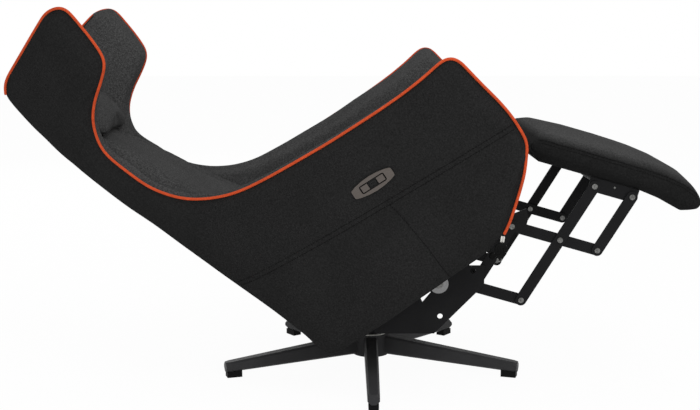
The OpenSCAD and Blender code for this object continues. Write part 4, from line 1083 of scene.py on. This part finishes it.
class RECLINER_OT_pillow(bpy.types.Operator):
    """Fill the head pillow, and lay its welt round it"""
    bl_idname = "recliner.pillow"
    bl_label = "Head Pillow"

    def execute(self, context):
        made = cushion("head_pillow", settings().soft.pillow_swell, "pillow", walled=False)
        line = welt_line(coords(made), np.array(Vector(JOINTS["pillow_height"]["axis"])))
        on, _ = laid_on(made, resampled(line, LINE_STEP), 0)
        press_in(made, on, WELT_GROOVE, WELT_HALF_WIDTH)
        on, normals = laid_on(made, on, WELT_LIFT)
        welt = tube("head_pillow_welt", on, WELT_RADIUS, WELT_SIDES, "inner_fabric", normals=normals)
        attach(welt, "pillow")
        return {"FINISHED"}


PAD_SEAM_RUN = (-0.150, 0.222)
PAD_SEAM_POINTS = 60
PAD_SEAM_ROWS = (-0.0035, 0.0035)
PAD_SEAM_HEIGHT, PAD_SEAM_FALL = 0.066, 0.024
PAD_BEND, PAD_BEND_LENGTH = 0.66, 0.34
PAD_BLUNT, PAD_SIDE, PAD_TIP_FALL = 0.6, 0.03, 0.009


def pad_seam(span):
    """Height of the pad's seam over the line of its pivots, at a share of the pad's length."""
    return PAD_SEAM_HEIGHT - PAD_SEAM_FALL * np.maximum(0, (span - PAD_BEND) / PAD_BEND_LENGTH) ** 2


class RECLINER_OT_leg_rest(bpy.types.Operator):
    """Fill the leg rest pad, and sew its top to its side band"""
    bl_idname = "recliner.leg_rest"
    bl_label = "Leg Rest Pad"

    def execute(self, context):
        made = copy_of("leg_rest_pad", "leg_rest_pad_cover")
        made.data.materials.append(finish_named("pad_fabric"))
        swollen(made, settings().soft.pad_swell, settings().soft.voxel)
        points = coords(made)
        run, height = to_pad(points)
        span = (run - run.min()) / (run.max() - run.min())
        over_seam = height - pad_seam(span)
        tip = np.clip((span - PAD_BLUNT) / (1 - PAD_BLUNT), 0, 1)
        fall = np.clip(-over_seam / PAD_SIDE, 0, 1) * tip * PAD_TIP_FALL
        set_coords(made, points - np.outer(fall, (math.sin(PAD_TURN), 0, math.cos(PAD_TURN))))
        made.data.attributes.new("over_seam", "FLOAT", "POINT").data.foreach_set("value", over_seam)
        subdivided(made, 1)
        half = abs(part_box("leg_rest_pad")[0][1])
        runs = np.linspace(*PAD_SEAM_RUN, PAD_SEAM_POINTS)
        spans = (runs - run.min()) / (run.max() - run.min())
        heights = pad_seam(spans)
        for side, sign in SIDES.items():
            line = [from_pad(r, sign * half, h) for r, h in zip(runs, heights)]
            sewn(f"{side}_pad_seam", made, line, "leg_rest", PAD_SEAM_ROWS)
        smooth(made)
        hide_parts("leg_rest_pad")
        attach(made, "leg_rest")
        return {"FINISHED"}


ROLL_RADIUS, ROLL_SIDES = 0.009, 20


class RECLINER_OT_rear_cover(bpy.types.Operator):
    """Upholster the cover at the back of the chair, with the roll that closes it over the back board"""
    bl_idname = "recliner.rear_cover"
    bl_label = "Rear Cover"

    def execute(self, context):
        made = copy_of("rear_cover", "rear_cover_skin")
        made.data.materials.append(finish_named("outer_fabric"))
        remeshed(made, settings().soft.voxel)
        smooth(made)
        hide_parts("rear_cover")
        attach(made, "shell")
        board = to_shell(coords(frame["nodes"]["back_board"]))
        top = board[board[:, 2] > board[:, 2].max() - ROLL_RADIUS]
        x, z = (top[:, 0].min() + top[:, 0].max()) / 2, top[:, 2].max()
        half = top[:, 1].max() - ROLL_RADIUS / 2
        line = from_shell([(x, half * f, z) for f in np.linspace(-1, 1, ROLL_SIDES)])
        upwards = [(0, 0, 1)] * len(line)
        roll = tube("back_top_roll", line, ROLL_RADIUS, ROLL_SIDES, "outer_fabric", normals=upwards)
        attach(roll, "shell")
        return {"FINISHED"}


# Hard parts

SHARP_ANGLE = math.radians(32)
DOMED = ("link_studs", "rear_link_rivets", "cross_link_rivets", "long_link_rivets", "front_link_rivets",
         "crank_link_rivets")
EASED = {"switch_plate": 0.0012, "switch_housing": 0.0006, "recline_button": 0.0012,
         "leg_rest_button": 0.0012, "usb_socket": 0.0003, "tilt_rings": 0.0008, "tilt_bolts": 0.0008,
         "star_base": 0.0012, "foot_glides": 0.0015, "pad_crossbar": 0.0005}
PLAIN_EDGE, PLAIN_SEGMENTS = 0.0004, 2
DOME, DOME_SEGMENTS = 0.0018, 3
FLAT_ANGLE = math.radians(0.5)


def eased(node, width, segments):
    """Rounds the sharp edges of a frame piece by modifiers, which leave its mesh as it is."""
    flat = node.modifiers.new("flat_faces", "DECIMATE")
    flat.decimate_type = "DISSOLVE"
    flat.angle_limit = FLAT_ANGLE
    edge = node.modifiers.new("eased_edges", "BEVEL")
    edge.width = width
    edge.segments = segments
    edge.limit_method = "ANGLE"
    edge.angle_limit = SHARP_ANGLE
    edge.harden_normals = True


class RECLINER_OT_hard_parts(bpy.types.Operator):
    """Give every hard part of the frame its finish"""
    bl_idname = "recliner.hard_parts"
    bl_label = "Hard Parts"

    def execute(self, context):
        slots = {part["node"]: part["material_slot"] for part in frame["record"]["subparts"]}
        for name, node in frame["nodes"].items():
            node.data.materials.clear()
            node.data.materials.append(finish_named(slots[name]))
            node.data.shade_smooth()
            node.data.set_sharp_from_angle(angle=SHARP_ANGLE)
            if name in DOMED:
                eased(node, DOME, DOME_SEGMENTS)
            else:
                eased(node, EASED.get(name, PLAIN_EDGE), PLAIN_SEGMENTS)
        return {"FINISHED"}


# Small trim

LATHE_SIDES = 24
STUD = ((0.0, 0.0013), (0.0012, 0.0012), (0.0022, 0.0008), (0.0029, 0.0001), (0.0030, -0.0006))
SCREW = ((0.0, -0.0030), (0.0020, -0.0030), (0.0022, -0.0008), (0.0044, -0.0008), (0.0053, -0.0014),
         (0.0054, -0.0045))
CAP = ((0.0, 0.0020), (0.0060, 0.0020), (0.0076, 0.0014), (0.0082, 0.0002), (0.0082, 0.0))
STUD_RUN, STUD_HEIGHT = 0.0432, 0.0088
SCREW_PLACE = (0.2145, 0.2724)
BUCKLE_TURN = math.radians(-132)
STRAP_LENGTH = 0.0155
BUCKLE_START = 0.0125
BUCKLE_OUTLINE = ((0.0, 0.0050), (0.0025, 0.0062), (0.0060, 0.0105), (0.0110, 0.0130), (0.0220, 0.0122),
                  (0.0290, 0.0085), (0.0330, 0.0070))
BUCKLE_THICK, BUCKLE_OUT, BUCKLE_EDGE = 0.0070, 0.0015, 0.0016
STRAP_RADIUS, STRAP_SIDES, STRAP_FLAT = 0.0042, 14, 0.45
STRAP_POINTS = (0, 0.3, 0.6, 1)
RIB_ENDS, RIB_ASIDE, RIB_RADIUS, RIB_SIDES = (0.0085, 0.0255), (-0.0062, 0.0, 0.0062), 0.0015, 10
RING_AT, RING_MAJOR, RING_MINOR = 0.0355, 0.0042, 0.0012
HOOP_AROUND, HOOP_ACROSS = 28, 10


def lathe(name, place, profile, sign, finish):
    """A turned form whose axis runs across the chair; the profile gives radius and height outwards."""
    verts = []
    for radius, height in profile:
        for k in range(LATHE_SIDES):
            angle = 2 * math.pi * k / LATHE_SIDES
            verts.append((place[0] + radius * math.cos(angle), place[1] + sign * height,
                          place[2] + radius * math.sin(angle)))
    faces = loft_faces(len(profile), LATHE_SIDES)
    faces.append(tuple(range((len(profile) - 1) * LATHE_SIDES, len(profile) * LATHE_SIDES)))
    made = new_object(name, verts, faces, finish)
    with edited(made.data) as work:
        bmesh.ops.remove_doubles(work, verts=work.verts, dist=WELD / 10)
        bmesh.ops.recalc_face_normals(work, faces=work.faces)
    smooth(made)
    return made


def prism(name, outline, place, thick, width, finish):
    """A bar with a mirrored outline; place turns a run, an aside and a depth into a point."""
    ring = [(run, aside) for run, aside in outline] + [(run, -aside) for run, aside in outline[::-1]]
    verts = [place(run, aside, depth) for depth in (0, thick) for run, aside in ring]
    count = len(ring)
    faces = loft_faces(2, count) + [tuple(range(count))[::-1], tuple(range(count, 2 * count))]
    made = new_object(name, verts, faces, finish)
    turned_out(made)
    edge = made.modifiers.new("eased_edges", "BEVEL")
    edge.width = width
    edge.segments = 3
    bake(made)
    smooth(made)
    made.data.set_sharp_from_angle(angle=SHARP_ANGLE)
    return made


def hoop(name, centre, major, minor, finish):
    """A closed ring of wire that lies flat against the side of the chair."""
    around, across = HOOP_AROUND, HOOP_ACROSS
    verts = []
    for i in range(around):
        turn = 2 * math.pi * i / around
        for k in range(across):
            tilt = 2 * math.pi * k / across
            reach = major + minor * math.cos(tilt)
            verts.append((centre[0] + reach * math.cos(turn), centre[1] + minor * math.sin(tilt),
                          centre[2] + reach * math.sin(turn)))
    faces = [(i * across + k, (i + 1) % around * across + k, (i + 1) % around * across + (k + 1) % across,
              i * across + (k + 1) % across) for i in range(around) for k in range(across)]
    made = new_object(name, verts, faces, finish)
    turned_out(made)
    smooth(made)
    return made


def outer_face(node, sign):
    """Half width to the outer face of a frame piece."""
    return abs(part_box(node)[0 if sign < 0 else 1][1])


def add_buckle(side, sign, end):
    """The strap, buckle, ribs and ring at the end of a side's piping."""
    along = (math.cos(BUCKLE_TURN), math.sin(BUCKLE_TURN))
    out = end[1] - BUCKLE_THICK / 2 + BUCKLE_OUT
    middle = BUCKLE_THICK / 2 - BUCKLE_OUT

    def place(run, aside, depth):
        return from_shell((end[0] + run * along[0] - aside * along[1], sign * (out + depth),
                           end[2] + run * along[1] + aside * along[0]))

    def on_buckle(run, aside, depth):
        return place(BUCKLE_START + run, aside, depth)

    line = [place(STRAP_LENGTH * f, 0, middle) for f in STRAP_POINTS]
    strap = tube(f"{side}_buckle_strap", line, STRAP_RADIUS, STRAP_SIDES, "pale_strap", flatten=STRAP_FLAT,
                 normals=[(0, 1, 0)] * len(line))
    buckle = prism(f"{side}_piping_buckle", BUCKLE_OUTLINE, on_buckle, BUCKLE_THICK, BUCKLE_EDGE,
                   "buckle_plastic")
    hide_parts("piping_clips")
    made = [strap, buckle]
    for number, aside in enumerate(RIB_ASIDE, 1):
        rib = tube(f"{side}_buckle_rib_{number}", [on_buckle(run, aside, BUCKLE_THICK) for run in RIB_ENDS],
                   RIB_RADIUS, RIB_SIDES, "buckle_plastic")
        made.append(rib)
    ring = hoop(f"{side}_buckle_ring", on_buckle(RING_AT, 0, middle), RING_MAJOR, RING_MINOR, "steel_bright")
    for piece in made + [ring]:
        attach(piece, "shell")


class RECLINER_OT_trim(bpy.types.Operator):
    """Add the piping's buckles, the pad brackets' studs, the side plates' screws and the shaft's caps"""
    bl_idname = "recliner.trim"
    bl_label = "Small Trim"

    def execute(self, context):
        end = piping_path(Outline())[-1]
        for side, sign in SIDES.items():
            add_buckle(side, sign, end)
            place = from_pad(STUD_RUN, sign * outer_face(f"{side}_pad_bracket", sign), STUD_HEIGHT)
            stud = lathe(f"{side}_bracket_stud", place, STUD, sign, "steel_bright")
            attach(stud, "leg_rest")
            place = (SCREW_PLACE[0], sign * outer_face(f"{side}_side_plate", sign), SCREW_PLACE[1])
            screw = lathe(f"{side}_plate_screw", place, SCREW, sign, "buckle_plastic")
            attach(screw, "chassis")
            low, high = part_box("push_shaft")
            place = ((low[0] + high[0]) / 2, (high if sign > 0 else low)[1], (low[2] + high[2]) / 2)
            cap = lathe(f"{side}_shaft_cap", place, CAP, sign, "buckle_plastic")
            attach(cap, "rear_links")
        return {"FINISHED"}


# Stage

SENSOR = 36
FLOOR_REACH, FLOOR_ROUGHNESS, FLOOR_WHITE = 14, 0.9, 0.96
LIGHT_AIM = (0, 0, 0.5)
LIGHTS = {"key": ((0.8, -1.6, 3.0), 2.4), "fill": ((0.3, -4.0, 2.0), 3.0), "rim": ((-1.4, 3.2, 2.4), 2.6)}


def white_to_the_eye(tree, lit, strength):
    """Mixes a shader with even white for rays that come straight from the camera or off gloss or glass."""
    def combined(operation, first, second):
        node = tree.nodes.new("ShaderNodeMath")
        node.operation = operation
        tree.links.new(first, node.inputs[0])
        if isinstance(second, float):
            node.inputs[1].default_value = second
        else:
            tree.links.new(second, node.inputs[1])
        return node.outputs[0]

    path = tree.nodes.new("ShaderNodeLightPath").outputs
    gloss = combined("MAXIMUM", path["Is Glossy Ray"], path["Is Transmission Ray"])
    seen = combined("MAXIMUM", path["Is Camera Ray"], gloss)
    white = tree.nodes.new("ShaderNodeEmission")
    mix = tree.nodes.new("ShaderNodeMixShader")
    for source, socket in zip((combined("MULTIPLY", seen, strength), lit, white.outputs[0]), mix.inputs):
        tree.links.new(source, socket)
    return mix.outputs[0]


def area_light(name, place, size, energy):
    data = bpy.data.lights.new(name, "AREA")
    data.shape = "DISK"
    data.size = size
    data.energy = energy
    lamp = linked(name, data)
    lamp.location = place
    lamp.rotation_euler = (Vector(LIGHT_AIM) - Vector(place)).to_track_quat("-Z", "Y").to_euler()


class RECLINER_OT_stage(bpy.types.Operator):
    """Set up the camera, the floor, the backdrop and the light"""
    bl_idname = "recliner.stage"
    bl_label = "Stage"

    def execute(self, context):
        stage, scene = settings().stage, context.scene
        camera = linked("camera", bpy.data.cameras.new("camera"))
        camera.location = stage.camera_place
        camera.rotation_euler = (stage.camera_pitch, 0, stage.camera_yaw)
        camera.data.lens = stage.lens
        camera.data.sensor_width = SENSOR
        scene.camera = camera
        scene.view_settings.view_transform = "Standard"

        world = bpy.data.worlds.new("world")
        world.use_nodes = True
        scene.world = world
        tree = world.node_tree
        even = tree.nodes["Background"]
        even.inputs["Strength"].default_value = stage.ambient
        even.inputs["Color"].default_value = (1, 1, 1, 1)
        tree.links.new(white_to_the_eye(tree, even.outputs[0], 1.0),
                       tree.nodes["World Output"].inputs["Surface"])

        corners = [(x * FLOOR_REACH, y * FLOOR_REACH, 0) for x, y in ((-1, -1), (1, -1), (1, 1), (-1, 1))]
        floor = new_object("floor", corners, [(0, 1, 2, 3)])
        finish = bpy.data.materials.new("floor")
        finish.use_nodes = True
        tree = finish.node_tree
        shader = tree.nodes["Principled BSDF"]
        shader.inputs["Base Color"].default_value = (*stage.floor, 1)
        shader.inputs["Roughness"].default_value = FLOOR_ROUGHNESS
        shader.inputs["Specular IOR Level"].default_value = 0.0
        tree.links.new(white_to_the_eye(tree, shader.outputs[0], FLOOR_WHITE),
                       tree.nodes["Material Output"].inputs["Surface"])
        floor.data.materials.append(finish)

        for light, (place, size) in LIGHTS.items():
            area_light(f"{light}_light", place, size, getattr(stage, light))
        return {"FINISHED"}


PARTS = (RECLINER_OT_stage, RECLINER_OT_hard_parts, RECLINER_OT_trim, RECLINER_OT_panels, RECLINER_OT_piping,
         RECLINER_OT_seat, RECLINER_OT_back, RECLINER_OT_pillow, RECLINER_OT_leg_rest, RECLINER_OT_rear_cover)


class RECLINER_PT_sidebar(bpy.types.Panel):
    """Lists the parts of the recliner that can be built"""
    bl_label = "Recliner"
    bl_idname = "RECLINER_PT_sidebar"
    bl_space_type = "VIEW_3D"
    bl_region_type = "UI"
    bl_category = "Recliner"

    def draw(self, context):
        for part in PARTS:
            self.layout.operator(part.bl_idname)
        for group in (settings().panel, settings().soft, settings().paint, settings().stage):
            box = self.layout.box()
            for name in group.__annotations__:
                box.prop(group, name)


CLASSES = (PanelSizes, SoftSizes, Colours, StageSizes, ReclinerSettings, *PARTS, RECLINER_PT_sidebar)


def register():
    for made in CLASSES:
        bpy.utils.register_class(made)
    bpy.types.Scene.recliner = PointerProperty(type=ReclinerSettings)


def unregister():
    del bpy.types.Scene.recliner
    for made in reversed(CLASSES):
        bpy.utils.unregister_class(made)


def main():
    register()
    make_finishes()
    for part in PARTS:
        group, name = part.bl_idname.split(".")
        getattr(getattr(bpy.ops, group), name)()


if __name__ == "__main__":
    main()
